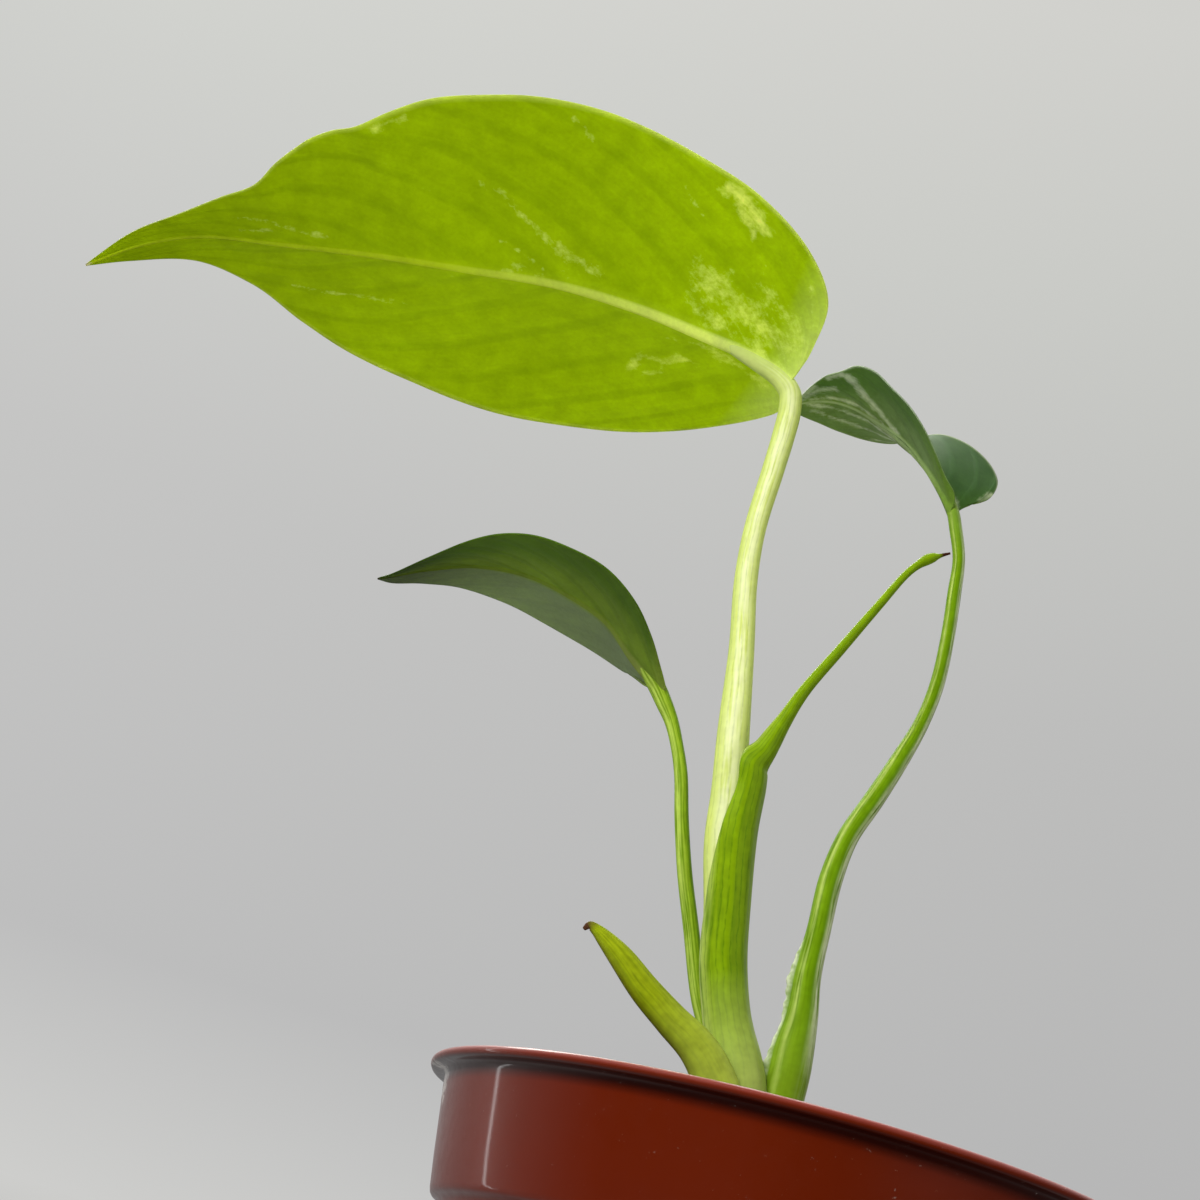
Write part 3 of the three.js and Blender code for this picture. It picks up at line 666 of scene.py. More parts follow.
def potting_mix(finish):
    """The root ball, with a rough top of coir, peat crumbs and fine grit."""
    angle = 2 * np.pi * np.arange(SOIL_STEPS) / SOIL_STEPS
    ring = np.stack([np.cos(angle), np.sin(angle)], -1)
    reach = np.linspace(0.02, 1, SOIL_RINGS) ** 0.8 * (SOIL_EDGE + 0.7)
    top = np.zeros((SOIL_RINGS, SOIL_STEPS, 3))
    top[..., :2] = reach[:, None, None] * ring[None]
    top[..., 2] = SOIL_TOP - 1.3 * smooth(41, SOIL_EDGE, reach)[:, None]
    rough = 0.75 * grain(top, 7.0, 1) + 0.4 * grain(top, 2.6, 2) + 0.22 * grain(top, 1.1, 3)
    top[..., 2] += rough - 0.45
    side = []
    for radius, z in SOIL_SIDE:
        loop = np.zeros((SOIL_STEPS, 3))
        loop[:, :2], loop[:, 2] = radius * ring, z
        side.append(loop)
    rings = np.concatenate([top, np.array(side)])
    rows = len(rings)
    flat = np.vstack([rings.reshape(-1, 3), [top[0].mean(0)], [[0, 0, SOIL_FOOT]]])
    faces = lattice(rows, SOIL_STEPS, closed=True, flip=True)[0].tolist()
    faces += fan(np.arange(SOIL_STEPS), rows * SOIL_STEPS)
    faces += fan(np.arange(SOIL_STEPS) + (rows - 1) * SOIL_STEPS, rows * SOIL_STEPS + 1, flip=True)
    points = [flat]
    count = len(flat)
    draw = np.random.default_rng(CRUMB_SEED)
    for i in range(CRUMBS):
        far, turn = SOIL_EDGE * math.sqrt(draw.uniform(0.01, 0.93)), draw.uniform(0, 2 * math.pi)
        size = draw.uniform(0.35, 1.25) * np.array([1.0, draw.uniform(0.6, 1.0), draw.uniform(0.5, 0.8)])
        depth = 0.35 - draw.uniform(-0.2, 0.25)
        spot = (far * math.cos(turn), far * math.sin(turn), SOIL_TOP - depth)
        corners, sides = crumb(spot, size, i * 0.37)
        points.append(corners)
        faces += [[v + count for v in s] for s in sides]
        count += len(corners)
    return piece("potting_mix_surface", "potting_soil", np.vstack(points), faces, [finish],
                 crease=40)


def chip(name, node, finish, layered, seed):
    """A bark chip or perlite grain, made to fill the box of its CAD node."""
    low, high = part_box(node)
    low, high = np.array(low) / MM, np.array(high) / MM
    kept = np.array([v.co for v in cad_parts[node].data.vertices]) / MM
    centre = kept.mean(0)
    spread = (kept[:, :2] - centre[:2]).T @ (kept[:, :2] - centre[:2])
    axes = np.linalg.eigh(spread)[1][:, ::-1]
    turned = (kept[:, :2] - centre[:2]) @ axes
    half = np.array([*np.abs(turned).max(0), (high[2] - low[2]) / 2])
    corners, sides = crumb((0, 0, 0), (1, 1, 1), seed, facets=4)
    corners = unit(corners)
    roundness = BARK_ROUNDNESS if layered else PERLITE_ROUNDNESS
    boxed = np.sign(corners) * np.abs(corners) ** roundness
    boxed *= (1 + 0.12 * grain(corners, 0.45, seed) + 0.07 * grain(corners, 0.2, seed + 3))[:, None]
    if layered:
        level = boxed[:, 2] * BARK_LAYERS + 0.6 * grain(boxed * [1, 1, 0], 0.7, seed + 5)
        step = np.round(level) / BARK_LAYERS
        boxed[:, :2] *= (1 - 0.1 * np.abs(np.sin(step * 5 + seed)))[:, None]
        boxed[:, 2] += 0.12 * grain(boxed * [1, 3, 0], 0.6, seed + 7)
    boxed /= np.abs(boxed).max(0)
    local = boxed * half
    flat = np.empty_like(local)
    flat[:, :2] = local[:, :2] @ axes.T + centre[:2]
    flat[:, 2] = local[:, 2] + (low[2] + high[2]) / 2
    return piece(name, node, flat, sides, [finish], crease=38)


# The crown, stalks and shoots.

CROWN = [
    (-6.6, -0.4, 66.5, 3.6), (-6.7, -0.4, 70, 4.8), (-6.8, -0.5, 78, 5.8), (-6.9, -0.5, 84, 6.3),
    (-7, -0.5, 89, 7.1), (-7.3, -0.3, 92, 7.3), (-7.5, 0, 94.4, 6.2),
]

MAIN_STALK = [
    (-8.6, 2, 90, 2.4), (-9.3, 2, 94.2, 2.4), (-10.5, 2, 100.5, 2.4), (-13, 2, 109, 2.4),
    (-16, 2.2, 117.5, 2.5), (-18, 2.3, 126.5, 2.75), (-20, 2.3, 135, 2.8), (-21, 2.5, 143, 2.7),
    (-22.5, 2.5, 152, 2.5), (-24.6, 3, 166, 2.0), (-26.6, 3, 177, 1.85), (-27.3, 3.3, 186, 1.75),
    (-26.9, 3.6, 196.5, 1.8), (-26.7, 4, 203, 1.85), (-26.75, 4, 207.5, 1.85), (-27.5, 4, 210.8, 1.8),
    (-29.8, 4, 213.0, 1.65), (-33.5, 3.9, 214.6, 1.45), (-37.5, 3.8, 216.1, 1.2), (-40.5, 3.7, 217.3, 0.9),
]
LEFT_STALK = [
    (-12.3, 4.4, 90.5, 1.2), (-12.9, 4.8, 94.2, 1.2), (-13.4, 4.7, 100.5, 1.2), (-15, 4.5, 106, 1.25),
    (-18, 4.5, 112, 1.2), (-21.5, 4.5, 121.5, 1.2), (-24.5, 4.5, 129.5, 1.15), (-27, 4.5, 137.5, 1.1),
    (-28.9, 4.6, 144.5, 1.05), (-30.7, 4.8, 149, 1.0), (-32.4, 5, 152.4, 1.1), (-34.3, 5, 155.1, 1.3),
    (-36, 5, 157.3, 1.35), (-39, 4.9, 160.3, 1.05), (-42.5, 4.7, 163.3, 0.65),
]
RIGHT_STALK = [
    (-3, 0.8, 90.5, 2.7), (-2.6, 1, 94.2, 2.9), (-2.4, 1, 103, 3.1), (-2.5, 1.5, 107, 3.0),
    (-2.5, 2, 112.5, 2.4), (-3, 2.5, 118.5, 2.0), (-3, 3.2, 126, 1.8), (-3, 4, 134, 1.8),
    (-2, 5, 141, 1.65), (0.5, 6, 148, 1.6), (3, 7, 155.5, 1.45), (5, 8, 162.5, 1.2), (6, 9, 169.5, 1.15),
    (6, 10, 178, 1.1), (5.5, 11, 186, 1.1), (5, 11.5, 192, 1.0), (3.5, 11.8, 197, 1.05),
    (2.1, 12, 200.6, 1.0), (0, 12, 203.2, 0.8),
]
SIDE_SHOOT = [
    (-7.2, -4, 89.7, 3.0), (-10.1, -5.2, 95, 3.25), (-12.6, -5.6, 99.3, 3.15), (-15.8, -6.3, 102.7, 2.85),
    (-20.3, -7, 105.5, 2.5), (-25, -8, 108.6, 2.25), (-29.3, -9, 112, 1.85), (-32.2, -9.5, 114, 1.3),
    (-33.9, -9.8, 115, 0.85), (-34.9, -10, 115.3, 0.6), (-35.5, -10, 114.6, 0.3),
]


WING_TURN = 0.73


def grooved(depth, at, width):
    """An outline with a shallow channel that runs along a stalk at one turn round it."""
    def outline(turn, along):
        away = np.abs((turn - at + 0.5) % 1 - 0.5)
        return 1 - depth * np.exp(-((away / width) ** 2)) + 0 * along
    return outline


def winged(turn, along):
    """The right stalk's outline: a torn, papery wing low at its left and a channel at its back."""
    away = np.abs((turn - WING_TURN + 0.5) % 1 - 0.5)
    reach = 0.12 + 0.26 * smooth(0.17, 0.21, along) + 0.16 * (1 - smooth(0.11, 0.15, along))
    reach *= (1 - smooth(0.235, 0.3, along)) * smooth(0.0, 0.04, along)
    ragged = 1 + 0.3 * np.sin(along * 271 + 1.3) * np.sin(along * 113) + 0.2 * np.sin(along * 47 + 2)
    channel = 0.12 * np.exp(-(((turn + 0.5) % 1 - 0.5) / 0.06) ** 2)
    return 1 + reach * np.exp(-((away / 0.03) ** 2)) * ragged - channel


def bulged(turn, along):
    """The crown's outline: old leaf scars as low rings, and knobs of young roots."""
    return 1 + 0.05 * np.sin(along * 34) + 0.07 * np.sin(turn * 4 * np.pi + along * 9) \
        + 0.04 * np.sin(turn * 10 * np.pi + 2 - along * 15)


# Each place on the sheath: x, y, z, outer radius, wall, and the angles (front 0, right 90) it spans.
SHEATH = [
    (-8, 0, 90.5, 4.6, 0.7, -110, 105), (-8.6, 0, 95, 4.8, 0.7, -108, 105),
    (-9.6, 0, 100, 4.6, 0.7, -106, 105), (-10.7, 0, 103.4, 4.2, 0.7, -105, 105),
    (-12.1, 0, 106.8, 3.75, 0.7, -105, 105), (-13.3, 0, 109.8, 3.6, 0.7, -105, 105),
    (-15.5, 0, 117, 3.6, 0.7, -105, 105), (-17, -0.5, 126, 3.45, 0.65, -80, 110),
    (-18.5, -1, 136.5, 3.45, 0.6, -37, 115), (-18.5, -1, 143, 3.1, 0.6, -26, 120),
    (-18.5, -1.5, 146.5, 2.8, 0.55, -40, 130), (-17, -2, 149.5, 1.9, 0.5, -120, 150),
    (-15.5, -2.5, 154, 1.45, 0.45, -170, 170), (-13.5, -3, 159.5, 1.15, 0.4, -185, 180),
    (-9.5, -3.5, 167.5, 1.0, 0.4, -190, 185), (-5.5, -4, 175.5, 0.85, 0.35, -190, 185),
    (-2.5, -4, 181.5, 0.75, 0.3, -190, 185), (-1.1, -4, 183.4, 0.8, 0.3, -190, 185),
    (0.1, -4, 184.6, 1.0, 0.3, -190, 185), (1, -4, 185.2, 0.85, 0.25, -190, 185),
    (1.8, -4, 185.6, 0.45, 0.2, -190, 185), (2.5, -4, 186, 0.32, 0.15, -190, 185),
    (3.3, -4, 186.4, 0.22, 0.1, -190, 185),
]
SHEATH_ROWS = 380
SHEATH_SIDES = 56
SHEATH_FIRST = -190
SHEATH_LAST = 185


def rolled_sheath(finish):
    """The sheath that wraps the main stalk's foot and rolls up into the next leaf."""
    share = np.linspace(0, 1, SHEATH_ROWS)
    line = curve(SHEATH, share)
    middle, outer = line[:, :3], line[:, 3]
    wall, first, last = line[:, 4], np.clip(line[:, 5], SHEATH_FIRST, 0), np.clip(line[:, 6], 0, SHEATH_LAST)
    right, back, _ = across(middle)
    step = np.linspace(0, 1, SHEATH_SIDES)
    angle = np.radians(first[:, None] + (last - first)[:, None] * step)
    # The turns of the roll lie on each other, so its radius grows a wall's width round it.
    overlap = smooth(300, 370, last - first)[:, None]
    grow = 1 - overlap * (1 - step) * np.minimum(0.45, 1.2 * (wall / outer)[:, None])
    thin = np.sqrt(np.clip(1 - (2 * step - 1) ** 8, 0.02, 1))
    ribs = 1 + 0.012 * np.sin(angle * 9) * (1 - overlap)
    layers = []
    for depth in (0.0, 1.0):
        radius = outer[:, None] * grow * ribs - wall[:, None] * (depth * thin + (1 - thin) * 0.5)
        out = right[:, None] * np.sin(angle)[..., None] - back[:, None] * np.cos(angle)[..., None]
        layers.append(middle[:, None] + radius[..., None] * out)
    section = np.concatenate([layers[0], layers[1][:, ::-1]], axis=1)
    sides = section.shape[1]
    faces, row, column = lattice(SHEATH_ROWS, sides, closed=True)
    turn = 0.5 - np.concatenate([angle, angle[:, ::-1]], axis=1) / (2 * np.pi)
    length = share * np.sum(np.linalg.norm(np.diff(middle, axis=0), axis=1)) * PER_CM
    uv = np.stack([turn[row, column % sides], length[row]], -1).reshape(-1, 2)
    flat = section.reshape(-1, 3)
    faces = faces.tolist()
    ends = []
    for end, flip in ((0, True), (SHEATH_ROWS - 1, False)):
        base = end * sides
        for j in range(SHEATH_SIDES - 1):
            quad = (base + j, base + j + 1, base + sides - 2 - j, base + sides - 1 - j)
            faces.append(quad[::-1] if flip else quad)
            ends += [(0.5, length[end])] * 4
    return piece("rolled_sheath_and_spear", "new_leaf_sheath", flat, faces, [finish],
                 uv=np.vstack([uv, ends]))


# Leaf outlines.

MAIN_RIB = [
    (-27.5, 4, 212), (-33.5, 4, 215), (-44, 3.5, 217.2), (-54.5, 3, 219), (-68.5, 2.5, 220),
    (-83.5, 2, 219), (-99, 2, 218), (-116, 2.5, 216.5), (-130, 3, 215), (-139.5, 4, 211.5), (-148, 5, 206),
]
MAIN_NEAR = [
    (-25, -3.5, 216.2), (-24, -11.5, 220.5), (-28.5, -18.5, 225), (-37.5, -22.5, 230), (-48, -25, 233.2),
    (-58, -26.5, 235.5), (-67.1, -27.3, 236.4), (-76, -27.2, 236.3), (-83.8, -26.3, 235.1),
    (-92, -24, 233.8), (-98.1, -21.5, 231.6), (-103.8, -18.9, 228.8), (-107.8, -16.9, 228.4),
    (-111.2, -15.2, 227.3), (-113.5, -13.5, 226.2), (-117.1, -10.3, 224.3), (-120.2, -7.3, 221.5),
    (-126.2, -4.1, 219.4), (-133, -1.1, 216.3), (-141, 2.1, 212.5),
]
MAIN_FAR = [
    (-28.5, 10, 210.5), (-32, 15.5, 210.5), (-46, 26.5, 210), (-60, 33, 209.5), (-78.5, 34, 209),
    (-96.5, 29.5, 209.5), (-113.5, 19.5, 211.5), (-122, 12.5, 213), (-130, 8.4, 213.2), (-141, 6.5, 209.5),
]
LEFT_RIB = [
    (-34.5, 5, 155.3), (-37, 5, 157.7), (-41, 5, 161), (-46, 4.5, 165.5), (-53, 4, 168.3),
    (-60, 3.5, 169.8), (-68, 3, 169.3), (-75.5, 2.5, 166.7), (-83, 2, 163),
]
LEFT_NEAR = [
    (-34, 4.4, 156), (-34.7, 3.4, 157.6), (-35.8, 1.4, 159.4), (-38, -3, 162.5), (-41.4, -7, 166),
    (-46.4, -9.5, 169.1), (-52.5, -10.6, 170.7), (-58.5, -10.5, 171.4), (-64, -9, 170.9),
    (-70, -5.5, 169.3), (-75, -2.3, 167), (-81, 1, 163.7),
]
LEFT_FAR = [
    (-39, 8, 158.5), (-43, 14, 161.5), (-49.5, 18, 165), (-57.5, 18, 167.5), (-65, 15.5, 168.7),
    (-71, 11.5, 168), (-76.5, 7.5, 166), (-81, 3.2, 163.3),
]
RIGHT_RIB = [
    (2.4, 12, 199.5), (-0.5, 12, 203.5), (-4, 12.5, 207.5), (-8, 13, 211), (-12.5, 14, 213.5),
    (-17, 15, 215.7), (-21.5, 16.5, 216.8), (-26, 18.5, 216.4), (-28.5, 20, 215.5),
]
RIGHT_NEAR = [
    (2, 9.5, 202), (0, 8, 204), (-2.5, 5.5, 206.7), (-5, 3.5, 209.3), (-8, 2.3, 212), (-11.5, 2, 214.5),
    (-15, 2.5, 217), (-18, 4, 218), (-20.5, 6.5, 217.6), (-23, 9.3, 217.5), (-25, 13, 217),
    (-27, 17.5, 216.2),
]
RIGHT_FAR = [
    (4.5, 14, 202.5), (7.5, 16.5, 205.5), (8.5, 18.5, 208.5), (8.3, 20.5, 211.3), (6, 22.5, 215),
    (2, 24, 218), (-2.5, 25, 219), (-6.5, 25.5, 217.5), (-10, 26, 216), (-15, 26, 215.5), (-19, 25, 215.5),
    (-22.5, 23.5, 215.5), (-26, 22, 215.5),
]

MAIN_PATCHES = [
    ([(0.111, -0.93), (0.103, -0.91), (0.094, -0.88), (0.083, -0.81)], 1.5, 1.25),
    ([(0.103, -0.86), (0.094, -0.78)], 1.1, 1.2), ([(0.092, -0.77), (0.09, -0.73)], 0.7, 1.2),
    ([(0.39, -0.53), (0.369, -0.47), (0.356, -0.35), (0.336, -0.26)], 0.7, 0.95),
    ([(0.321, -0.19), (0.301, -0.17), (0.275, -0.12)], 1.1, 1.1),
    ([(0.4, -0.22), (0.377, -0.16), (0.354, -0.08)], 0.4, 1.1),
    ([(0.416, -0.03), (0.384, -0.06), (0.361, -0.05)], 0.7, 1.0),
    ([(0.177, 0.45), (0.177, 0.35), (0.149, 0.34), (0.137, 0.26), (0.119, 0.25)], 0.9, 0.95),
    ([(0.16, 0.47), (0.141, 0.42)], 0.7, 0.9), ([(0.17, 0.12), (0.131, 0.08), (0.083, 0.09)], 0.5, 0.95),
    ([(0.477, -0.95), (0.453, -0.94), (0.432, -0.95)], 0.9, 0.95),
    ([(0.748, -0.57), (0.712, -0.44), (0.679, -0.3), (0.641, -0.18)], 0.5, 0.85),
    ([(0.763, -0.27), (0.718, -0.25)], 0.4, 0.8),
    ([(0.638, 0.7), (0.586, 0.59), (0.532, 0.5), (0.485, 0.46)], 0.4, 0.9),
    ([(0.253, -0.91), (0.244, -0.88), (0.237, -0.82)], 0.5, 0.85),
    ([(0.151, -0.78), (0.141, -0.73), (0.135, -0.68)], 0.5, 0.8),
    ([(0.137, -0.32), (0.105, -0.28), (0.065, -0.24), (0.035, -0.22)], 3.6, 0.95),
    ([(0.143, -0.12), (0.092, -0.11), (0.046, -0.09)], 1.8, 0.9),
    ([(0.079, -0.47), (0.051, -0.45), (0.026, -0.52)], 2.6, 0.75),
    ([(0.038, -0.82), (0.031, -0.74)], 0.6, 0.95), ([(0.145, -0.42), (0.139, -0.36)], 0.6, 1.1),
    ([(0.12, 0.1), (0.07, 0.14), (0.03, 0.3)], 1.4, 0.85),
]
RIGHT_PATCHES = [
    ([(0.43, -0.06), (0.47, -0.2), (0.505, -0.5), (0.53, -0.88)], 0.8, 1.35),
    ([(0.5, -0.08), (0.62, -0.22), (0.74, -0.3), (0.86, -0.34)], 0.6, 1.25),
    ([(0.66, -0.66), (0.75, -0.76), (0.86, -0.74)], 0.8, 1.35),
    ([(0.46, 0.1), (0.58, 0.2), (0.72, 0.26), (0.88, 0.2)], 0.7, 1.25),
    ([(0.42, 0.2), (0.52, 0.5), (0.7, 0.6), (0.86, 0.55)], 0.7, 1.15),
    ([(0.4, 0.3), (0.46, 0.8), (0.6, 0.9)], 0.8, 1.15),
    ([(0.74, -0.95), (0.8, -0.94), (0.88, -0.93), (0.95, -0.92)], 0.7, 1.6),
    ([(0.54, -0.95), (0.58, -0.96), (0.63, -0.95)], 0.6, 1.6),
    ([(0.27, 0.15), (0.33, 0.25), (0.4, 0.35)], 0.9, 1.3),
    ([(0.012, 0.3), (0.03, 0.2), (0.06, 0.12)], 0.8, 1.4), ([(0.03, 0.94), (0.06, 0.95)], 0.7, 1.4),
]

MAIN_LOOK = dict(ridge=(1.9, 0.35), rise=(0.95, 0.14), camber=1.3, veins=9, quilt=0.1, sweep=0.3,
                 wave=0.9, body=0.5, edge=0.22)
SMALL_LOOK = dict(ridge=(1.6, 0.35), rise=(0.6, 0.1), camber=0.5, veins=7, quilt=0.06, sweep=0.25,
                  wave=0.12, body=0.45, edge=0.22)
TWISTED_LOOK = dict(SMALL_LOOK, fold=(0.36, 0.16, (-0.3, 0.0, -2.2)))


# The object.

pot_finish = pot_plastic()
mix_finish = crumbly("peat_and_coir_potting_mix", "#120b07", "#2a1b12", "#4c3524",
                     coarse=420.0, roughness=0.95, depth=0.5)
bark_finish = crumbly("pine_bark", "#2b170d", "#5a3420", "#8a5a3a",
                      coarse=300.0, roughness=0.85, depth=0.35)
perlite_finish = crumbly("expanded_perlite", "#b9b6ae", "#e2e0da", "#f3f2ee",
                         coarse=700.0, roughness=0.8, depth=0.2)

nursery_pot(pot_finish)
potting_mix(mix_finish)
for number in range(1, 9):
    chip(f"pine_bark_{number}", f"bark_chip_{number}", bark_finish, layered=True, seed=number * 1.7)
    chip(f"perlite_{number}", f"perlite_grain_{number}", perlite_finish, layered=False,
         seed=number * 2.3)

# Across each stalk's front its colours mix its own stripes with painted highlights and painted shade.
crown_finish = stalk_skin(
    "crown_skin", [(0.1, "#8f9a48"), (0.5, "#8f9a48"), (0.9, "#7d8a3c")],
    streak="#6a5a32", low="#5a4a2c", roughness=0.5, specular=0.4, speckle=0.2)
pale_finish = stalk_skin(
    "pale_stalk_skin",
    [(0.02, "#c4d56c"), (0.2, "#e0eb94"), (0.4, "#f8fcc6"), (0.62, "#f6fabe"), (0.84, "#dce88c"),
     (0.98, "#c4d56c")],
    streak="#dbe77c", low="#b0c64a", roughness=0.42, specular=0.25, speckle=0.05, glow=0.3, lit="#f4f8b0",
    top=(12.0, 13.2, "#d8e488"))
green_finish = stalk_skin(
    "green_stalk_skin",
    [(0.02, "#8fb02c"), (0.2, "#bcd45c"), (0.38, "#b2cc50"), (0.46, "#7fa020"), (0.56, "#a8c53c"),
     (0.76, "#93b424"), (0.9, "#6f9410"), (0.98, "#86a820")],
    streak="#6a8f0a", low="#98b234", roughness=0.4, specular=0.2, speckle=0.08, glow=0.25, lit="#c8d840")
# The bright line at 0.24 is a painted highlight, and the dark band from 0.36 to 0.7 is painted shade. The
# pale edge is its own wing.
wing_finish = stalk_skin(
    "winged_stalk_skin",
    [(0.02, "#6f9418"), (0.12, "#7fa024"), (0.24, "#b8cc68"), (0.36, "#7ca010"), (0.56, "#6a9206"),
     (0.7, "#5e840c"), (0.8, "#9cb068"), (0.88, "#ccd6a8")],
    streak="#5f8400", low="#809e20", roughness=0.4, specular=0.2, speckle=0.08, glow=0.2, lit="#b0c430",
    top=(10.4, 11.5, "#7a9a34"), film=(WING_TURN, 0.05, 3.3, "#d4dcb8"))
sheath_finish = stalk_skin(
    "sheath_skin",
    [(0.02, "#a2b558"), (0.12, "#8fa733"), (0.22, "#7a9808"), (0.5, "#759404"), (0.8, "#6d8c04"),
     (0.98, "#789608")],
    streak="#648303", low="#aebc5f", roughness=0.42, specular=0.2, speckle=0.08,
    dry=(10.2, 10.28, "#3a1c10"), lines=(22, 0.5))
shoot_finish = stalk_skin(
    "side_shoot_skin",
    [(0.02, "#6e7010"), (0.2, "#84940a"), (0.5, "#90a010"), (0.8, "#8a990e"), (0.98, "#8a990e")],
    streak="#7a880a", low="#a8b648", roughness=0.45, specular=0.2, speckle=0.12, dry=(3.85, 4.0, "#4a2f1c"))

stalk("crown_of_the_plant", "plant_stem", CROWN, rows=60, sides=48, ratio=0.95,
      finish=crown_finish, section=bulged, dome=(0.3, 0.35))
stalk("main_leaf_stalk", "main_leaf_petiole", MAIN_STALK, rows=260, sides=40, ratio=0.92,
      finish=pale_finish, section=grooved(0.16, at=0.0, width=0.08), dome=(0.2, 0.5))
stalk("left_leaf_stalk", "left_leaf_petiole", LEFT_STALK, rows=180, sides=32, ratio=0.92,
      finish=green_finish, section=grooved(0.18, at=0.0, width=0.1), dome=(0.2, 0.5))
stalk("right_leaf_stalk", "right_leaf_petiole", RIGHT_STALK, rows=280, sides=72, ratio=0.85,
      finish=wing_finish, section=winged, dome=(0.2, 0.5))
stalk("side_shoot_with_dry_tip", "side_shoot", SIDE_SHOOT, rows=130, sides=36, ratio=0.72,
      finish=shoot_finish, section=grooved(0.1, at=0.52, width=0.05), dome=(0.2, 0.4))
rolled_sheath(sheath_finish)

LIT_TONES = dict(
    main="#99b504", deep="#88a500", vein="#7a9a00", rib="#e4ee90", rib_tip="#9cb60a", pale="#d8e284",
    margin="#99b504", far="#99b504", foot="#dce888", lit="#ccdf04", lit_pale="#e8f07c", dry="#e8e4b0")
LIT_UPPER_TONES = dict(
    LIT_TONES, main="#6c9a20", deep="#5d8c18", vein="#7da62c", rib="#a3bd58", rib_tip="#86a63a",
    pale="#dfe4b4")
# far is a painted grey sheen on the left leaf's far half.
DARK_TONES = dict(
    main="#859f38", deep="#748f2c", vein="#5f7a22", rib="#98a650", rib_tip="#74883a", pale="#c2cc98",
    margin="#50751a", far="#97a58e", foot="#9cb048", lit="#a7bc08", lit_pale="#b8c860", dry="#5a4634")
DARK_UPPER_TONES = dict(
    DARK_TONES, main="#4f7a22", deep="#446e1a", vein="#5a8430", rib="#8aa646", rib_tip="#7a963a",
    pale="#dfe4b4", foot="#8aa646")
DULL_TONES = dict(
    main="#8fa972", deep="#7b965e", vein="#7c9860", rib="#8fb050", rib_tip="#a0b888", pale="#dfe6d2",
    margin="#5d8638", far="#8fa972", foot="#7ca038", lit="#9cb830", lit_pale="#dfe8b8", dry="#5a4634")
DULL_UPPER_TONES = dict(
    DULL_TONES, main="#3c5c30", deep="#325228", vein="#466a38", rib="#a3b870", rib_tip="#8aa058",
    pale="#d4dcb4", foot="#486c30")

lit_under = leaf_skin("main_leaf_underside", LIT_TONES, glow=0.5, roughness=0.5, specular=0.12, veins=9,
                      contrast=0.35, foot=0.05, tip_shade=0.84, painted_foot_light=1.35)
lit_upper = leaf_skin("main_leaf_upper_face", LIT_UPPER_TONES, glow=0.5, roughness=0.32, specular=0.5,
                      veins=9, contrast=0.5, foot=0.03, tip_shade=0.7)
dark_under = leaf_skin("left_leaf_underside", DARK_TONES, glow=0.5, roughness=0.45, specular=0.3, veins=7,
                       contrast=0.35, foot=0.07, halves=(0.75, 0.85), tip_shade=0.34)
dark_upper = leaf_skin("left_leaf_upper_face", DARK_UPPER_TONES, glow=0.5, roughness=0.3, specular=0.5,
                       veins=7, contrast=0.5, foot=0.12)
dull_under = leaf_skin("right_leaf_underside", DULL_TONES, glow=0.4, roughness=0.45, specular=0.2, veins=8,
                       contrast=0.35, foot=0.22, halves=(0.8, 0.0))
dull_upper = leaf_skin("right_leaf_upper_face", DULL_UPPER_TONES, glow=0.35, roughness=0.5, specular=0.1,
                       veins=8, contrast=0.5, foot=0.1)

blade("main_leaf", "main_leaf_blade", MAIN_RIB, MAIN_NEAR, MAIN_FAR, MAIN_LOOK,
      [lit_under, lit_upper], MAIN_PATCHES)
blade("left_leaf", "left_leaf_blade", LEFT_RIB, LEFT_NEAR, LEFT_FAR, SMALL_LOOK,
      [dark_under, dark_upper])
blade("right_leaf", "right_leaf_blade", RIGHT_RIB, RIGHT_NEAR, RIGHT_FAR, TWISTED_LOOK,
      [dull_under, dull_upper], RIGHT_PATCHES)


# The studio.

FLOOR_REACH = 1.05
WALL_REACH = 1.6
WALL_TOP = 2.6
BEND_STEPS = 12
WALL_SIDES = 128


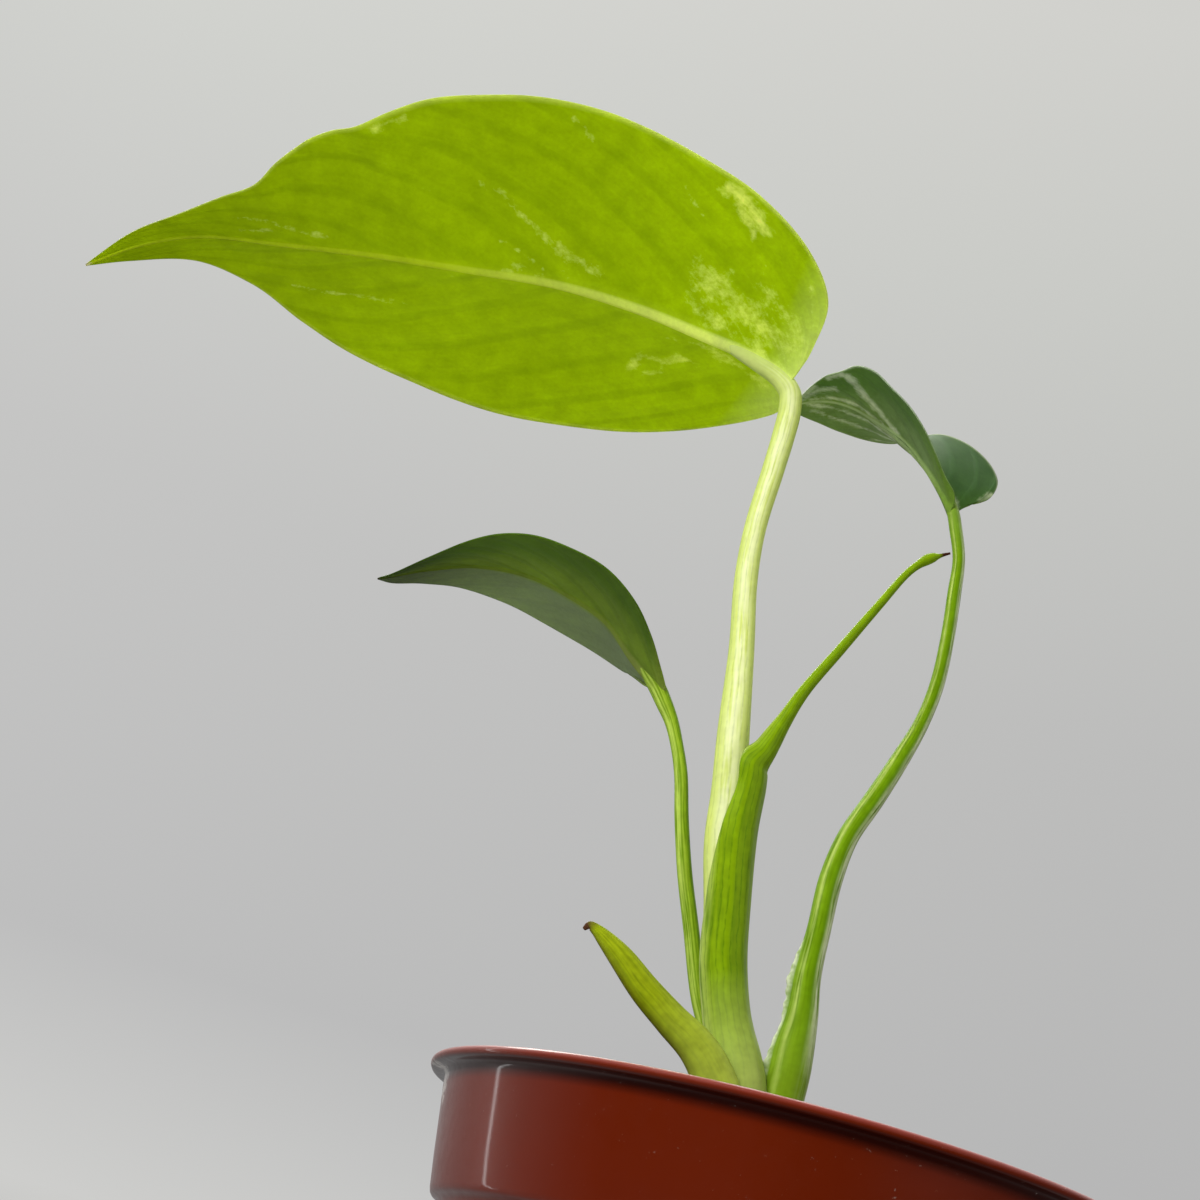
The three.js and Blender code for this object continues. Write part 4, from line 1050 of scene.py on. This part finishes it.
def backdrop():
    """A pale floor that curves up into a grey wall which glows by itself with painted light, lighter above.
    """
    profile = [(0.0, 0.0), (0.25, 0.0), (0.6, 0.0), (FLOOR_REACH, 0.0)]
    bend = WALL_REACH - FLOOR_REACH
    for i in range(1, BEND_STEPS + 1):
        turn = math.pi / 2 * i / BEND_STEPS
        profile.append((FLOOR_REACH + bend * math.sin(turn), bend * (1 - math.cos(turn))))
    profile.append((WALL_REACH, WALL_TOP))
    angle = 2 * np.pi * np.arange(WALL_SIDES) / WALL_SIDES
    points = [[0.0, 0.0, 0.0]]
    for radius, z in profile[1:]:
        points += [[radius * math.cos(a), radius * math.sin(a), z] for a in angle]
    faces = [[0, 1 + i, 1 + (i + 1) % WALL_SIDES] for i in range(WALL_SIDES)]
    faces += lattice(len(profile) - 1, WALL_SIDES, first=1, closed=True, flip=True)[0].tolist()
    finish, tree = blank("studio_paper")
    spot = add(tree, "TexCoord").outputs["Object"]
    across_wall, _, height = add(tree, "SeparateXYZ", {"Vector": spot}).outputs
    # The wall's glow is painted light: greys by height, a little brighter to the left.
    level = add(tree, "MapRange", {"Value": height, "From Max": 1.4})
    sideways = add(tree, "MapRange", {"Value": across_wall, "From Min": -0.75, "From Max": 0.22,
                                      "To Min": 1.06, "To Max": 0.96})
    painted_wall_light = add(tree, "ValToRGB", {"Fac": level}, ramp=[
        (place, linear(grey)) for place, grey in (
            (0.0, "#d0d0ce"), (0.08, "#cbcbc9"), (0.22, "#bababa"), (0.5, "#c0c0bf"), (0.8, "#cccdc9"),
            (1.0, "#d3d3cf"))])
    paper = add(tree, "BsdfDiffuse", {"Color": linear("#a4a4a2")})
    glow = add(tree, "Emission", {"Color": painted_wall_light, "Strength": sideways})
    share = add(tree, "MapRange", {"Value": height, "From Max": 0.12})
    lit = add(tree, "MixShader", {0: share, 1: paper, 2: glow})
    show(tree, lit)
    mesh = bpy.data.meshes.new("studio_floor_and_wall")
    mesh.from_pydata(points, [], faces)
    mesh.materials.append(finish)
    mesh.shade_smooth()
    obj = bpy.data.objects.new("studio_floor_and_wall", mesh)
    bpy.context.scene.collection.objects.link(obj)
    # The paper is seen, but it neither lights the plant nor shows in the pot's gloss.
    obj.visible_diffuse = obj.visible_glossy = obj.visible_transmission = obj.visible_shadow = False


def soft_light(name, at, aim, size, power, in_gloss, colour="#ffffff"):
    """A soft rectangular light that the camera doesn't see. in_gloss says if the pot mirrors it."""
    data = bpy.data.lights.new(name, "AREA")
    data.shape = "RECTANGLE"
    data.size, data.size_y = size
    data.energy = power
    data.color = linear(colour)[:3]
    lamp = bpy.data.objects.new(name, data)
    lamp.location = at
    lamp.rotation_euler = (Vector(aim) - Vector(at)).to_track_quat("-Z", "Y").to_euler()
    lamp.visible_camera = False
    lamp.visible_glossy = in_gloss
    bpy.context.scene.collection.objects.link(lamp)


def sky():
    """Soft light from above and behind, little from below and in front, and a haze at the left."""
    world = bpy.data.worlds.new("studio_light")
    bpy.context.scene.world = world
    world.use_nodes = True
    tree = world.node_tree
    tree.nodes.clear()
    toward = add(tree, "TexCoord").outputs["Generated"]
    axis = add(tree, "SeparateXYZ", {"Vector": toward})
    up = add(tree, "MapRange", {"Value": axis.outputs["Z"], "From Min": -1.0})
    by_height = add(tree, "ValToRGB", {"Fac": up}, ramp=[
        (0.0, 0.12), (0.5, 0.1), (0.64, 0.35), (0.8, 0.95), (1.0, 1.1)])
    by_depth = add(tree, "MapRange", {"Value": axis.outputs["Y"], "From Min": -0.6, "From Max": 0.5,
                                      "To Min": 0.15, "To Max": 1.1})
    above = add(tree, "Math", {0: by_height, 1: by_depth}, operation="MULTIPLY")
    # The haze that lies on the left side of the pot.
    leftward = add(tree, "VectorMath", {0: toward, 1: (-0.55, 0.83, 0.0)}, operation="DOT_PRODUCT")
    beside = add(tree, "MapRange", {"Value": leftward, "From Min": 0.1, "From Max": 0.5,
                                    "To Max": 0.19})
    strength = add(tree, "Math", {0: above, 1: beside}, operation="ADD")
    back = add(tree, "Background", {"Color": (1.0, 1.0, 1.0, 1.0), "Strength": strength})
    add(tree, "OutputWorld", {"Surface": back})


backdrop()
sky()
for fixture in (
        # Name, where it hangs, what it points at, its size, its power, if the pot mirrors it.
        ("key_above_behind", (-0.45, 0.55, 1.15), (-0.03, 0.0, 0.16), (0.9, 0.9), 17.0, True, "#fffdf6"),
        ("front_fill", (-0.7, -0.9, 0.75), (-0.02, 0.0, 0.14), (0.8, 0.6), 20.5, False),
        ("right_fill", (0.85, -0.75, 0.1), (0.0, 0.0, 0.17), (0.8, 0.8), 5.0, False),
        ("floor_bounce", (-0.3, -0.5, -0.45), (-0.05, 0.0, 0.2), (0.9, 0.9), 3.5, False),
        ("left_strip", (-1.16, 0.38, 0.15), (-0.03, -0.03, 0.08), (0.03, 1.1), 0.75, True)):
    soft_light(*fixture)

# The photograph's viewing angle: low in front, looking up, with the camera rolled to the left.
camera = bpy.data.cameras.new("camera")
camera.lens, camera.sensor_width = 72.0, 36.0
camera.clip_start, camera.clip_end = 0.02, 20.0
viewer = bpy.data.objects.new("camera", camera)
bpy.context.scene.collection.objects.link(viewer)
viewer.matrix_world = Matrix((
    (0.96566871, -0.22630265, 0.12755806, 0.0),
    (0.04214516, -0.34804567, -0.93652976, -0.349412),
    (0.2563352, 0.90975344, -0.32655925, 0.04552),
    (0.0, 0.0, 0.0, 1.0),
))
bpy.context.scene.camera = viewer
bpy.context.scene.view_settings.view_transform = "Standard"
